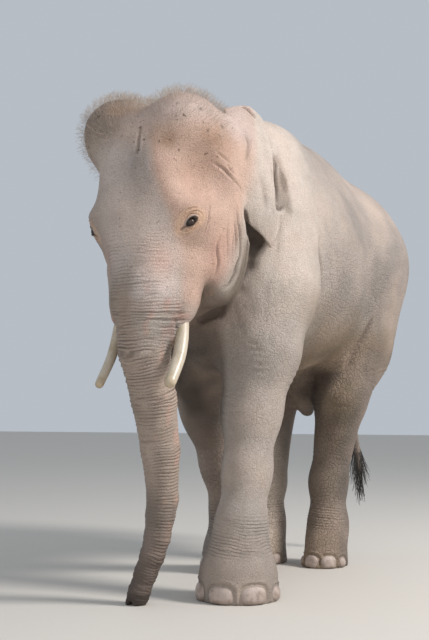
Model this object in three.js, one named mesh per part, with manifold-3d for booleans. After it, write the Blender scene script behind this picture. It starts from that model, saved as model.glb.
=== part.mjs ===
// A bull asian elephant standing still at life size, in millimetres.
// +Z is up, the head points along -Y and the animal's own left side is +X.
// The flesh is one smooth body, cut into named parts by thin straight cuts.
import * as THREE from "three";
import Module from "manifold-3d";

const wasm = await Module();
wasm.setup();
const { Manifold, Mesh: SolidMesh } = wasm;

// ---- driving sizes -------------------------------------------------------
const GAP = 0.3; // width of every cut and clearance
const HUGE = 6000; // reach of a cutting block
const BLEND_BODY = 130; // how softly big masses run together
const BLEND_LIMB = 80;
const BLEND_FACE = 60;
const RELAX_TURNS = 4; // how often a mesh is evened out

const BELLY_LEVEL = 1010; // the legs end and the torso starts here
const WRIST_LEVEL = 610;
const ANKLE_LEVEL = 235;
const NECK_FRONT = { point: [0, -20, 1900], normal: [0, 1, -0.12] };
const MOUTH = { point: [0, -200, 1475], normal: [0, -0.25, 1] };
const LIP = { point: [0, -318, 1380], normal: [0, -1, 0.1] };
const NECK_BACK = { point: [0, 150, 1900], normal: [0, 1, -0.25] };
const CHEST_BACK = { point: [0, 690, 1700], normal: [0, 1, 0] };
const RUMP_FRONT = { point: [0, 1130, 1700], normal: [0, 1, 0] };

const TUBE_SIDES = 10; // tusks and tail
const TUSK_RINGS = 9;
const TAIL_RINGS = 14;
const CELL = { torso: 154, neck: 130, head: 73, trunk: 58, leg: 96, sheath: 64 };

const TRUNK_CUTS = [
  { point: [0, -465, 1165], normal: [0, -0.15, 1] },
  { point: [18, -360, 800], normal: [0, -0.12, 1] },
  { point: [14, -310, 450], normal: [0.1, 0.05, 1] },
  { point: [-52, -338, 175], normal: [0.26, 0.12, 1] },
];

// Foot centres, joints and ankles: [x, y, z], x counted away from the middle.
const POSE = {
  foreLeft: {
    side: 1,
    elbow: [256, 240, 1200],
    forearm: [240, 170, 885],
    wrist: [249, 100, 600],
    ankle: [250, 28, 330],
    foot: [250, 0, 0],
  },
  foreRight: {
    side: -1,
    elbow: [225, 420, 1200],
    forearm: [197, 538, 885],
    wrist: [172, 645, 600],
    ankle: [167, 762, 330],
    foot: [165, 800, 0],
  },
  hindLeft: {
    side: 1,
    knee: [275, 1306, 980],
    hock: [182, 1325, 480],
    ankle: [184, 1308, 230],
    foot: [185, 1260, 0],
  },
  hindRight: {
    side: -1,
    knee: [268, 1290, 980],
    hock: [204, 1305, 480],
    ankle: [204, 1268, 230],
    foot: [190, 1232, 0],
  },
};

// The trunk's middle line with its radius: [x, y, z, radius].
const TRUNK = [
  [6, -486, 1420, 141],
  [2, -465, 1170, 118],
  [12, -392, 943, 104],
  [18, -342, 714, 90],
  [12, -305, 484, 75],
  [2, -312, 420, 68],
  [-14, -322, 300, 59],
  [-62, -342, 165, 53],
  [-86, -356, 70, 50],
  [-104, -367, -20, 50],
];

// The tail hangs clear of the legs, a little to the left.
const TAIL = {
  line: [[0, 1840, 1975], [2, 1975, 1860], [8, 2038, 1540], [36, 2030, 1050], [108, 2014, 640]],
  radii: [66, 58, 40, 31, 23],
  split: 1300,
  tuft: { centre: [132, 2010, 490], radii: [54, 48, 168] },
};

const EYE = { near: [250, -485, 1741], radius: 26, depth: 17 };
// The left tusk is the stouter one. Each line runs from deep in the head to the blunt tip.
const TUSKS = {
  left: {
    line: [[130, -395, 1560], [161, -396, 1330], [186, -454, 1160], [201, -580, 1000]],
    rootRadius: 38,
    endRadius: 27,
  },
  right: {
    line: [[-130, -395, 1560], [-174, -392, 1330], [-182, -450, 1160], [-174, -580, 1000]],
    rootRadius: 32,
    endRadius: 20,
  },
};
const EAR = {
  root: [[262, -160, 2345], [322, -185, 2180], [345, -170, 2010], [340, -125, 1900], [325, -80, 1820]],
  edge: [[318, 95, 2344], [362, 108, 2250], [400, 93, 2110], [438, 122, 1960], [412, 35, 1690]],
  thick: 22,
  thin: 13,
  clearance: 10,
  swell: 18, // how far the middle stands out
  rise: 34, // how far the top rim arches up
  roll: 22, // how far the top rim turns out
  fold: { at: 0.62, width: 0.16, from: 0.72, out: 45, ahead: 20 }, // the rear corner's fold
  columns: 7,
  rows: 8,
};

// ---- small vector helpers ------------------------------------------------
const DEG = Math.PI / 180;

function mix(a, b, t) {
  return a + (b - a) * t;
}

function mixPoint(a, b, t) {
  return [mix(a[0], b[0], t), mix(a[1], b[1], t), mix(a[2], b[2], t)];
}

function mirrored(point) {
  return [-point[0], point[1], point[2]];
}

// ---- distance fields -----------------------------------------------------
// A lump is an ellipsoid with soft edges of its own: [centre, radii, turn in degrees].
function lump(centre, radii, blend = BLEND_BODY, turn = [0, 0, 0]) {
  const euler = new THREE.Euler(turn[0] * DEG, turn[1] * DEG, turn[2] * DEG, "ZYX");
  const m = new THREE.Matrix4().makeRotationFromEuler(euler).elements;
  const distance = (x, y, z) => {
    const dx = x - centre[0];
    const dy = y - centre[1];
    const dz = z - centre[2];
    const px = (m[0] * dx + m[1] * dy + m[2] * dz) / radii[0];
    const py = (m[4] * dx + m[5] * dy + m[6] * dz) / radii[1];
    const pz = (m[8] * dx + m[9] * dy + m[10] * dz) / radii[2];
    const k0 = Math.hypot(px, py, pz);
    const k1 = Math.hypot(px / radii[0], py / radii[1], pz / radii[2]);
    return k1 > 1e-9 ? (k0 * (k0 - 1)) / k1 : -Math.min(...radii);
  };
  return { distance, blend };
}

// A rod runs from a to b with a round end of its own radius at each.
function rod(a, ra, b, rb, blend = BLEND_LIMB) {
  const axis = [b[0] - a[0], b[1] - a[1], b[2] - a[2]];
  const l2 = axis[0] ** 2 + axis[1] ** 2 + axis[2] ** 2;
  const rr = ra - rb;
  const a2 = l2 - rr * rr;
  const il2 = 1 / l2;
  const distance = (x, y, z) => {
    const px = x - a[0];
    const py = y - a[1];
    const pz = z - a[2];
    const along = px * axis[0] + py * axis[1] + pz * axis[2];
    const beyond = along - l2;
    const qx = px * l2 - axis[0] * along;
    const qy = py * l2 - axis[1] * along;
    const qz = pz * l2 - axis[2] * along;
    const x2 = qx * qx + qy * qy + qz * qz;
    const y2 = along * along * l2;
    const z2 = beyond * beyond * l2;
    const k = Math.sign(rr) * rr * rr * x2;
    if (Math.sign(beyond) * a2 * z2 > k) return Math.sqrt(x2 + z2) * il2 - rb;
    if (Math.sign(along) * a2 * y2 < k) return Math.sqrt(x2 + y2) * il2 - ra;
    return (Math.sqrt(x2 * a2 * il2) + along * rr) * il2 - ra;
  };
  return { distance, blend };
}

// A chain is a run of rods through points of the form [x, y, z, radius].
function chain(points, blend = BLEND_LIMB) {
  const rods = [];
  for (let i = 0; i + 1 < points.length; i += 1) {
    const [a, b] = [points[i], points[i + 1]];
    rods.push(rod(a.slice(0, 3), a[3], b.slice(0, 3), b[3], i ? 20 : blend));
  }
  return rods;
}

function softMin(a, b, k) {
  const h = Math.max(k - Math.abs(a - b), 0) / k;
  return Math.min(a, b) - (h * h * k) / 4;
}

// The field of many shapes run together, with the dents then pressed in.
function flesh(shapes, dents = []) {
  return (x, y, z) => {
    let d = 1e6;
    for (const shape of shapes) d = softMin(d, shape.distance(x, y, z), shape.blend);
    for (const dent of dents) d = -softMin(-d, dent.distance(x, y, z), dent.blend);
    return d;
  };
}

// ---- the animal's masses -------------------------------------------------
// y = 0 is over the middle of the left forefoot until the whole is centred.
function both(point, radii, blend, turn = [0, 0, 0]) {
  return [
    lump(point, radii, blend, turn),
    lump(mirrored(point), radii, blend, [turn[0], -turn[1], -turn[2]]),
  ];
}

function torsoShapes() {
  return [
    lump([0, 880, 1766], [560, 900, 626]), // barrel
    lump([0, 880, 1540], [490, 690, 405]), // belly
    lump([0, 980, 1960], [408, 880, 530]), // arched back
    ...both([215, 1460, 1790], [410, 500, 400]), // rump
    ...both([245, 1490, 2005], [230, 400, 245]), // hips
    lump([0, 340, 1640], [390, 450, 560]), // chest
    lump([0, 430, 2030], [345, 480, 430]), // withers
    ...both([210, 420, 2194], [185, 315, 213]), // tops of the shoulder blades
  ];
}

function neckShapes() {
  return [
    rod([0, 280, 1960], 390, [0, -130, 2000], 310, BLEND_BODY),
    rod([0, 200, 1650], 300, [0, -60, 1700], 210, BLEND_BODY), // throat
  ];
}

function forelegShapes({ side, elbow, forearm, wrist, ankle, foot }) {
  const at = (point, dy = 0, z = point[2]) => [side * point[0], point[1] + dy, z];
  return [
    lump([side * 300, 330, 1720], [190, 300, 480], BLEND_BODY, [8, 0, 0]), // shoulder blade
    rod([side * 290, 300, 1500], 215, at(elbow), 192),
    rod(at(elbow), 192, at(forearm), 138),
    rod(at(forearm), 138, at(wrist), 109),
    rod(at(wrist), 109, at(ankle), 116),
    rod(at(ankle), 116, at(foot, 0, 120), 161),
    rod(at(foot, 0, 95), 178, at(foot, 0, -60), 196),
  ];
}

function hindlegShapes({ side, knee, hock, ankle, foot }) {
  const at = (point, dy = 0, z = point[2]) => [side * point[0], point[1] + dy, z];
  return [
    lump([side * 300, 1520, 1520], [230, 390, 480], BLEND_BODY, [-14, 0, 0]), // thigh
    rod([side * 290, 1440, 1250], 205, at(knee), 146, BLEND_BODY),
    rod(at(knee), 144, at(hock), 100),
    rod(at(hock), 100, at(ankle), 106),
    rod(at(ankle), 104, at(foot, 40, -40), 118),
    rod(at(foot, -30, 120), 96, at(foot, -56, -40), 116),
  ];
}

function headShapes() {
  return [
    lump([0, -310, 2010], [350, 360, 330], BLEND_BODY), // brain case
    lump([165, -380, 2194], [183, 222, 180], BLEND_FACE), // domes
    lump([-165, -380, 2206], [183, 222, 180], BLEND_FACE),
    ...both([215, -410, 1825], [98, 135, 130], BLEND_FACE), // brow
    ...both([240, -200, 2170], [120, 150, 150], BLEND_FACE), // back of the crown
    ...both([215, -190, 1720], [130, 215, 250], BLEND_BODY), // cheek
    ...both([190, -130, 1560], [120, 150, 170], BLEND_FACE), // jaw angle
    rod([0, -440, 1850], 220, [8, -490, 1420], 134, BLEND_BODY), // face
    rod([85, -420, 1580], 103, [172, -397, 1348], 50, BLEND_FACE), // tusk sheaths
    rod([-82, -418, 1580], 98, [-162, -390, 1340], 56, BLEND_FACE),
    rod([118, -420, 1400], 72, [138, -424, 1235], 34, BLEND_FACE), // web from the trunk to the left tusk
    rod([170, -361, 1550], 92, [182, -380, 1412], 57, BLEND_FACE), // upper lip
    rod([-160, -365, 1550], 88, [-168, -382, 1412], 55, BLEND_FACE),
    rod([0, -110, 1520], 175, [0, -235, 1385], 72, BLEND_FACE), // lower jaw
  ];
}

function headDents() {
  return [
    ...both([352, -480, 1955], [112, 165, 112], 90), // temples
    lump([-272, -606, 1962], [108, 108, 102], 80), // hollow ahead of the right temple
    lump([0, -800, 2060], [70, 130, 170], 60), // hollow of the forehead
    ...both([330, -560, 1735], [70, 70, 45], 50), // eye hollows
  ];
}

function sheathShapes() {
  return [rod([22, 1180, 1120], 102, [26, 1376, 905], 40)];
}

// ---- from a field to a closed body ---------------------------------------
// The field is sampled on a grid and one vertex is set in every crossed cell.
// Each crossed grid edge gives one square between its four cells.
function polygonise(field, low, high, cell) {
  const count = [0, 1, 2].map((i) => Math.ceil((high[i] - low[i]) / cell) + 1);
  const [nx, ny, nz] = count;
  const at = (i, j, k) => i + nx * (j + ny * k);
  const values = new Float64Array(nx * ny * nz);
  for (let k = 0; k < nz; k += 1) {
    for (let j = 0; j < ny; j += 1) {
      for (let i = 0; i < nx; i += 1) {
        const rim = i === 0 || j === 0 || k === 0 || i === nx - 1 || j === ny - 1 || k === nz - 1;
        const d = field(low[0] + i * cell, low[1] + j * cell, low[2] + k * cell);
        values[at(i, j, k)] = rim ? Math.max(d, cell / 2) : d;
      }
    }
  }
  const corners = [0, 1, 2, 3, 4, 5, 6, 7].map((n) => [n & 1, (n >> 1) & 1, (n >> 2) & 1]);
  const vertexOf = new Int32Array(nx * ny * nz).fill(-1);
  const points = [];
  for (let k = 0; k < nz - 1; k += 1) {
    for (let j = 0; j < ny - 1; j += 1) {
      for (let i = 0; i < nx - 1; i += 1) {
        const found = corners.map((c) => values[at(i + c[0], j + c[1], k + c[2])]);
        const middle = crossingMiddle(corners, found);
        if (!middle) continue;
        vertexOf[at(i, j, k)] = points.length;
        points.push([i, j, k].map((n, m) => low[m] + cell * (n + middle[m])));
      }
    }
  }
  const squares = [];
  const square = (a, b, c, d, flip) => squares.push(flip ? [d, c, b, a] : [a, b, c, d]);
  for (let k = 0; k < nz - 1; k += 1) {
    for (let j = 0; j < ny - 1; j += 1) {
      for (let i = 0; i < nx - 1; i += 1) {
        const here = values[at(i, j, k)] < 0;
        const v = (x, y, z) => vertexOf[at(i - x, j - y, k - z)];
        if (here !== values[at(i + 1, j, k)] < 0) {
          square(v(0, 1, 1), v(0, 0, 1), v(0, 0, 0), v(0, 1, 0), !here);
        }
        if (here !== values[at(i, j + 1, k)] < 0) {
          square(v(1, 0, 1), v(1, 0, 0), v(0, 0, 0), v(0, 0, 1), !here);
        }
        if (here !== values[at(i, j, k + 1)] < 0) {
          square(v(1, 1, 0), v(0, 1, 0), v(0, 0, 0), v(1, 0, 0), !here);
        }
      }
    }
  }
  const inner = points.map((p) => p.every((c, n) => c > low[n] + 1.5 * cell && c < high[n] - 1.5 * cell));
  relax(field, points, squares, inner);
  const triangles = [];
  for (const [a, b, c, d] of squares) {
    const across = distanceBetween(points[a], points[c]) <= distanceBetween(points[b], points[d]);
    triangles.push(...(across ? [a, b, c, a, c, d] : [b, c, d, b, d, a]));
  }
  return solidOf(points.flat(), triangles);
}

// The middle of the places where a cell's edges cross the surface, in parts of the cell.
function crossingMiddle(corners, found) {
  const sum = [0, 0, 0];
  let crossings = 0;
  for (let a = 0; a < 8; a += 1) {
    for (let bit = 0; bit < 3; bit += 1) {
      const b = a | (1 << bit);
      if (a === b || found[a] < 0 === found[b] < 0) continue;
      const t = found[a] / (found[a] - found[b]);
      for (let n = 0; n < 3; n += 1) sum[n] += mix(corners[a][n], corners[b][n], t);
      crossings += 1;
    }
  }
  return crossings ? sum.map((v) => v / crossings) : null;
}

// Evens the mesh out: each vertex goes halfway to its neighbours' middle and back onto the surface.
function relax(field, points, squares, inner) {
  const near = points.map(() => new Set());
  for (const loop of squares) {
    for (let n = 0; n < 4; n += 1) {
      near[loop[n]].add(loop[(n + 1) % 4]);
      near[loop[(n + 1) % 4]].add(loop[n]);
    }
  }
  for (let turn = 0; turn < RELAX_TURNS; turn += 1) {
    const moved = points.map((p, index) => {
      if (!inner[index]) return p;
      const sum = [0, 0, 0];
      for (const other of near[index]) points[other].forEach((c, n) => (sum[n] += c));
      const middle = sum.map((c) => c / near[index].size);
      return settle(field, mixPoint(p, middle, 0.5));
    });
    moved.forEach((p, index) => (points[index] = p));
  }
}

// Moves a point onto the zero surface of a field.
function settle(field, start) {
  const p = [...start];
  const step = 2;
  for (let turn = 0; turn < 2; turn += 1) {
    const d = field(...p);
    const g = [
      field(p[0] + step, p[1], p[2]) - field(p[0] - step, p[1], p[2]),
      field(p[0], p[1] + step, p[2]) - field(p[0], p[1] - step, p[2]),
      field(p[0], p[1], p[2] + step) - field(p[0], p[1], p[2] - step),
    ].map((v) => v / (2 * step));
    const size = Math.max(g[0] ** 2 + g[1] ** 2 + g[2] ** 2, 0.25);
    for (let n = 0; n < 3; n += 1) p[n] -= (d * g[n]) / size;
  }
  return p;
}

function distanceBetween(a, b) {
  return Math.hypot(a[0] - b[0], a[1] - b[1], a[2] - b[2]);
}

function solidOf(positions, triangles) {
  return new Manifold(
    new SolidMesh({
      numProp: 3,
      vertProperties: new Float32Array(positions),
      triVerts: new Uint32Array(triangles),
    }),
  );
}

function solidFrom(geometry) {
  const index = geometry.index.array;
  const source = geometry.attributes.position;
  const seen = new Map();
  const positions = [];
  const names = [];
  for (let i = 0; i < source.count; i += 1) {
    const p = [source.getX(i), source.getY(i), source.getZ(i)];
    const key = p.map((v) => Math.round(v * 1000)).join(",");
    if (!seen.has(key)) {
      seen.set(key, positions.length / 3);
      positions.push(...p);
    }
    names.push(seen.get(key));
  }
  const triangles = [];
  for (let i = 0; i < index.length; i += 3) {
    const t = [names[index[i]], names[index[i + 1]], names[index[i + 2]]];
    if (t[0] !== t[1] && t[1] !== t[2] && t[0] !== t[2]) triangles.push(...t);
  }
  return solidOf(positions, triangles);
}

// A block that fills everything on the far side of a plane.
function beyond(point, normal) {
  const block = new THREE.BoxGeometry(HUGE, HUGE, HUGE);
  block.translate(0, 0, HUGE / 2);
  const up = new THREE.Vector3(0, 0, 1);
  const way = new THREE.Vector3(...normal).normalize();
  block.applyQuaternion(new THREE.Quaternion().setFromUnitVectors(up, way));
  const foot = way.multiplyScalar(GAP / 2);
  block.translate(point[0] - foot.x, point[1] - foot.y, point[2] - foot.z);
  return solidFrom(block);
}

function keepBelow(solid, point, normal = [0, 0, 1]) {
  return solid.subtract(beyond(point, normal));
}

function reversed(normal) {
  return normal.map((v) => -v);
}

function between(solid, low, high) {
  let kept = keepBelow(solid, [0, 0, high]);
  kept = keepBelow(kept, [0, 0, low], [0, 0, -1]);
  return kept;
}

// ---- the model -----------------------------------------------------------
const elephant = new THREE.Group();

const LOOKS = {
  skin: { color: "#b9a89d", roughness: 0.85, metalness: 0 },
  nail: { color: "#d9c3b4", roughness: 0.6, metalness: 0 },
  ivory: { color: "#ece2cc", roughness: 0.35, metalness: 0 },
  eye: { color: "#2b1a10", roughness: 0.15, metalness: 0 },
  hair: { color: "#4a423c", roughness: 0.9, metalness: 0 },
};

function add(name, solid, look, shift = [0, 0, 0]) {
  const mesh = solid.getMesh();
  const geometry = new THREE.BufferGeometry();
  const positions = new Float32Array(mesh.vertProperties);
  geometry.setAttribute("position", new THREE.BufferAttribute(positions, 3));
  geometry.setIndex(new THREE.BufferAttribute(new Uint32Array(mesh.triVerts), 1));
  geometry.translate(...shift);
  const part = new THREE.Mesh(geometry, new THREE.MeshStandardMaterial(LOOKS[look]));
  part.name = name;
  elephant.add(part);
}

const TRUNK_SHAPES = chain(TRUNK, BLEND_FACE);
const TORSO_SHAPES = [...torsoShapes(), ...neckShapes()];
const LEG_SHAPES = {
  foreLeft: forelegShapes(POSE.foreLeft),
  foreRight: forelegShapes(POSE.foreRight),
  hindLeft: hindlegShapes(POSE.hindLeft),
  hindRight: hindlegShapes(POSE.hindRight),
};
const FORE_SHAPES = [
  ...TORSO_SHAPES,
  ...LEG_SHAPES.foreLeft,
  ...LEG_SHAPES.foreRight,
  ...headShapes(),
  ...TRUNK_SHAPES,
];
LEG_SHAPES.hindRight.push(rod([-204, 1378, 1000], 162, [-212, 1330, 760], 134)); // inner thigh
const HIND_SHAPES = [...LEG_SHAPES.hindLeft, ...LEG_SHAPES.hindRight, ...sheathShapes()];
const torsoField = flesh([...FORE_SHAPES, ...HIND_SHAPES]);
const headField = flesh(FORE_SHAPES, headDents());
const neckField = flesh([...TORSO_SHAPES, ...LEG_SHAPES.foreLeft]);
const trunkField = flesh([...headShapes(), ...TRUNK_SHAPES]);

// -- ears
function curvePoint(points, t) {
  const curve = new THREE.CatmullRomCurve3(points.map((p) => new THREE.Vector3(...p)));
  return curve.getPoint(Math.min(1, Math.max(0, t))).toArray();
}

// The ear's middle sheet: u runs down from the top rim, v out from the root.
function earPoint(u, v) {
  const root = curvePoint(EAR.root, u);
  const edge = curvePoint(EAR.edge, u);
  const p = mixPoint(root, edge, v);
  const { at, width, from, out, ahead } = EAR.fold;
  const fold = Math.exp(-(((u - at) / width) ** 2)) * Math.max(0, (v - from) / (1 - from)) ** 2;
  const roll = Math.exp(-((u / 0.1) ** 2)) * v;
  const bulge = Math.sin(Math.PI * v);
  p[0] += out * fold + EAR.roll * roll + EAR.swell * bulge;
  p[1] -= ahead * fold;
  p[2] += EAR.rise * Math.exp(-((u / 0.14) ** 2)) * bulge;
  const lift = EAR.clearance + EAR.thick / 2 - neckField(...p);
  if (lift > 0 && v > 0) p[0] += lift * Math.min(1, v * 4);
  return p;
}

function earSolid(side, extra) {
  const positions = [];
  const { columns, rows } = EAR;
  const sheet = (u, v) => new THREE.Vector3(...earPoint(u, v));
  for (const face of [1, -1]) {
    for (let r = 0; r <= rows; r += 1) {
      for (let c = 0; c <= columns; c += 1) {
        const [u, v] = [r / rows, c / columns];
        const h = 0.01;
        const p = sheet(u, v);
        const du = sheet(u + h, v).sub(sheet(u - h, v));
        const dv = sheet(u, v + h).sub(sheet(u, v - h));
        const n = dv.clone().cross(du).normalize();
        if (n.x < 0) n.negate();
        const [past, down] = [dv.normalize(), du.normalize()];
        p.addScaledVector(past, extra * (c === columns ? 1 : c === 0 ? -1 : 0));
        p.addScaledVector(down, extra * (r === rows ? 1 : r === 0 ? -1 : 0));
        const rim = Math.min(1, 4 * (1 - v), 5 * u + 0.35, 5 * (1 - u) + 0.35);
        const half = mix(EAR.thin, EAR.thick, rim) / 2 + extra;
        p.addScaledVector(n, face * half);
        positions.push(side * p.x, p.y, p.z);
      }
    }
  }
  return sheetSolid(positions, rows, columns, side);
}

// Joins a front and a back grid of points into one closed plate.
function sheetSolid(positions, rows, columns, side) {
  const at = (face, r, c) => (face * (rows + 1) + r) * (columns + 1) + c;
  const triangles = [];
  const square = (a, b, c, d) => triangles.push(...(side > 0 ? [a, b, c, a, c, d] : [a, c, b, a, d, c]));
  for (let r = 0; r < rows; r += 1) {
    for (let c = 0; c < columns; c += 1) {
      square(at(0, r, c), at(0, r + 1, c), at(0, r + 1, c + 1), at(0, r, c + 1));
      square(at(1, r, c), at(1, r, c + 1), at(1, r + 1, c + 1), at(1, r + 1, c));
    }
    square(at(0, r, 0), at(1, r, 0), at(1, r + 1, 0), at(0, r + 1, 0));
    square(at(0, r, columns), at(0, r + 1, columns), at(1, r + 1, columns), at(1, r, columns));
  }
  for (let c = 0; c < columns; c += 1) {
    square(at(0, 0, c), at(0, 0, c + 1), at(1, 0, c + 1), at(1, 0, c));
    square(at(0, rows, c), at(1, rows, c), at(1, rows, c + 1), at(0, rows, c + 1));
  }
  return solidOf(positions, triangles);
}

// -- tusks and tail: a round tube along a line, flat at both ends
function tube(line, radiusAt, rings, sides) {
  const curve = new THREE.CatmullRomCurve3(line.map((p) => new THREE.Vector3(...p)));
  const frames = curve.computeFrenetFrames(rings, false);
  const positions = [];
  for (let r = 0; r <= rings; r += 1) {
    const centre = curve.getPointAt(r / rings);
    for (let s = 0; s < sides; s += 1) {
      const turn = (2 * Math.PI * s) / sides;
      const p = centre.clone();
      p.addScaledVector(frames.normals[r], Math.cos(turn) * radiusAt(r / rings));
      p.addScaledVector(frames.binormals[r], Math.sin(turn) * radiusAt(r / rings));
      positions.push(p.x, p.y, p.z);
    }
  }
  const triangles = [];
  for (let r = 0; r < rings; r += 1) {
    for (let s = 0; s < sides; s += 1) {
      const [a, b] = [r * sides + s, r * sides + ((s + 1) % sides)];
      triangles.push(a, b, b + sides, a, b + sides, a + sides);
    }
  }
  for (let s = 1; s + 1 < sides; s += 1) {
    const last = rings * sides;
    triangles.push(0, s + 1, s, last, last + s, last + s + 1);
  }
  return solidOf(positions, triangles);
}

function tail(extra) {
  const line = TAIL.line.map((p) => [...p]);
  line[0][1] -= extra;
  line[line.length - 1][2] -= extra;
  const radius = (t) => {
    const place = t * (TAIL.radii.length - 1);
    const low = Math.min(Math.floor(place), TAIL.radii.length - 2);
    return mix(TAIL.radii[low], TAIL.radii[low + 1], place - low) + extra;
  };
  return tube(line, radius, TAIL_RINGS, TUBE_SIDES);
}

function tusk({ line, rootRadius, endRadius }, extra) {
  const path = line.map((p) => [...p]);
  path[0][2] += extra;
  const bevel = (t) => (t > 0.985 ? 0.8 : 1);
  const radius = (t) => mix(rootRadius, endRadius, t) * bevel(t) + extra;
  return tube(path, radius, TUSK_RINGS, TUBE_SIDES);
}

// -- eyes and nails: balls, some of them flattened
function ball(centre, radii, turn, detail) {
  const sphere = new THREE.IcosahedronGeometry(1, detail);
  sphere.scale(...radii);
  sphere.rotateZ(turn);
  sphere.translate(...centre);
  sphere.setIndex([...Array(sphere.attributes.position.count).keys()]);
  return solidFrom(sphere);
}

// The place where the line from far outside towards a point meets the surface.
function surfaceNear(field, point, way) {
  const p = point.map((v, n) => v + way[n] * 200);
  for (let turn = 0; turn < 60; turn += 1) {
    const d = field(...p);
    if (Math.abs(d) < 0.05) break;
    p.forEach((v, n) => (p[n] = v - way[n] * d * 0.8));
  }
  return p;
}

function eye(side, extra) {
  const way = new THREE.Vector3(side * 0.86, -0.5, 0.02).normalize().toArray();
  const at = surfaceNear(headField, [side * EYE.near[0], EYE.near[1], EYE.near[2]], way);
  const centre = at.map((v, n) => v - way[n] * EYE.depth);
  const r = EYE.radius + extra;
  return ball(centre, [r, r, r], 0, 1);
}

const NAIL_SETS = {
  fore: { angles: [-98, -50, 0, 50, 98], ahead: 0, wide: 66, tall: 54, deep: 32, low: 36 },
  hind: { angles: [-80, -17, 46, 102], ahead: 52, wide: 49, tall: 46, deep: 28, low: 28 },
};

const NAIL_INSET = 15; // how deep a nail's middle lies under the skin
const SIDE_NAIL = 70; // nails turned further than this many degrees are smaller
const NAIL_FOOT = 5; // the nails end this far above the floor

function nails(pose, set, legField, foot) {
  return set.angles.map((angle) => {
    const a = angle * DEG;
    const centreY = pose.foot[1] - set.ahead;
    const way = [pose.side * Math.sin(a), -Math.cos(a), 0];
    const start = [pose.side * pose.foot[0], centreY, set.low];
    const at = surfaceNear(legField, start, way);
    const small = Math.abs(angle) > SIDE_NAIL ? 0.76 : 1;
    const radii = [set.wide * small, set.deep, set.tall * small];
    const turn = pose.side * a;
    const centre = [at[0] - way[0] * NAIL_INSET, at[1] - way[1] * NAIL_INSET, set.low];
    const plate = ball(centre, radii, turn, 1).subtract(foot);
    const solid = keepBelow(plate, [0, 0, NAIL_FOOT], [0, 0, -1]);
    return { solid, shift: way.map((v) => v * GAP) };
  });
}

// -- trunk side, in lengths
function trunkPieces(solid) {
  const pieces = [];
  let rest = solid;
  for (const cut of TRUNK_CUTS) {
    const up = cut.normal;
    pieces.push(keepBelow(rest, cut.point, reversed(up)));
    rest = keepBelow(rest, cut.point, up);
  }
  pieces.push(rest);
  return pieces;
}

// ---- torso, neck and head
const earHoles = [earSolid(1, GAP), earSolid(-1, GAP)];
const tuskHoles = [tusk(TUSKS.left, GAP), tusk(TUSKS.right, GAP)];
const eyeHoles = [eye(1, GAP), eye(-1, GAP)];

function without(solid, holes) {
  return holes.reduce((left, hole) => left.subtract(hole), solid);
}

const torso = keepBelow(
  polygonise(torsoField, [-832, -312, 700], [832, 2496, 2700], CELL.torso),
  [0, 0, BELLY_LEVEL],
  [0, 0, -1],
);
const trunkSide = keepBelow(torso, NECK_BACK.point, reversed(NECK_BACK.normal));
const chestSide = keepBelow(trunkSide, RUMP_FRONT.point, RUMP_FRONT.normal);
const rump = keepBelow(trunkSide, RUMP_FRONT.point, reversed(RUMP_FRONT.normal));
add("rump", rump.subtract(tail(GAP)), "skin");
add("barrel", keepBelow(chestSide, CHEST_BACK.point, reversed(CHEST_BACK.normal)), "skin");
add("chest", without(keepBelow(chestSide, CHEST_BACK.point, CHEST_BACK.normal), earHoles), "skin");

const front = polygonise(headField, [-600, -960, 960], [600, 560, 2640], CELL.neck);
let neck = keepBelow(front, NECK_BACK.point, NECK_BACK.normal);
neck = keepBelow(neck, NECK_FRONT.point, reversed(NECK_FRONT.normal));
add("neck", without(keepBelow(neck, [0, 0, BELLY_LEVEL], [0, 0, -1]), earHoles), "skin");

let head = polygonise(headField, [-600, -1000, 1000], [600, 200, 2600], CELL.head);
head = keepBelow(head, NECK_FRONT.point, NECK_FRONT.normal);
head = keepBelow(head, TRUNK_CUTS[0].point, reversed(TRUNK_CUTS[0].normal));
head = without(head, [...earHoles, ...tuskHoles, ...eyeHoles]);
const below = beyond(MOUTH.point, reversed(MOUTH.normal));
const behind = beyond(LIP.point, reversed(LIP.normal));
add("head", head.subtract(below.intersect(behind)), "skin");
add("jaw", keepBelow(keepBelow(head, MOUTH.point, MOUTH.normal), LIP.point, LIP.normal), "skin");

const trunk = polygonise(trunkField, [-300, -800, -120], [330, -180, 1300], CELL.trunk);
const lengths = trunkPieces(keepBelow(trunk, [0, 0, 0], [0, 0, -1]));
["trunk_upper", "trunk_middle", "trunk_lower", "trunk_tip"].forEach((name, n) => {
  add(name, lengths[n + 1], "skin");
});

[1, -1].forEach((side) => {
  const name = side > 0 ? "left" : "right";
  add(`ear_${name}`, earSolid(side, 0), "skin");
  add(`tusk_${name}`, tusk(TUSKS[name], 0), "ivory");
  add(`eye_${name}`, eye(side, 0), "eye");
});

// ---- tail and sheath
add("tail_upper", keepBelow(tail(0), [0, 0, TAIL.split], [0, 0, -1]), "skin");
add("tail_lower", keepBelow(tail(0), [0, 0, TAIL.split]), "skin");
const tuft = ball(TAIL.tuft.centre, TAIL.tuft.radii, 0, 1);
add("tail_tuft", tuft.subtract(tail(GAP)), "hair");
const sheathField = flesh([...torsoShapes(), ...sheathShapes()]);
const sheath = polygonise(sheathField, [-240, 1000, 720], [300, 1600, 1260], CELL.sheath);
add("sheath", keepBelow(sheath, [0, 0, BELLY_LEVEL]), "skin");

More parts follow.
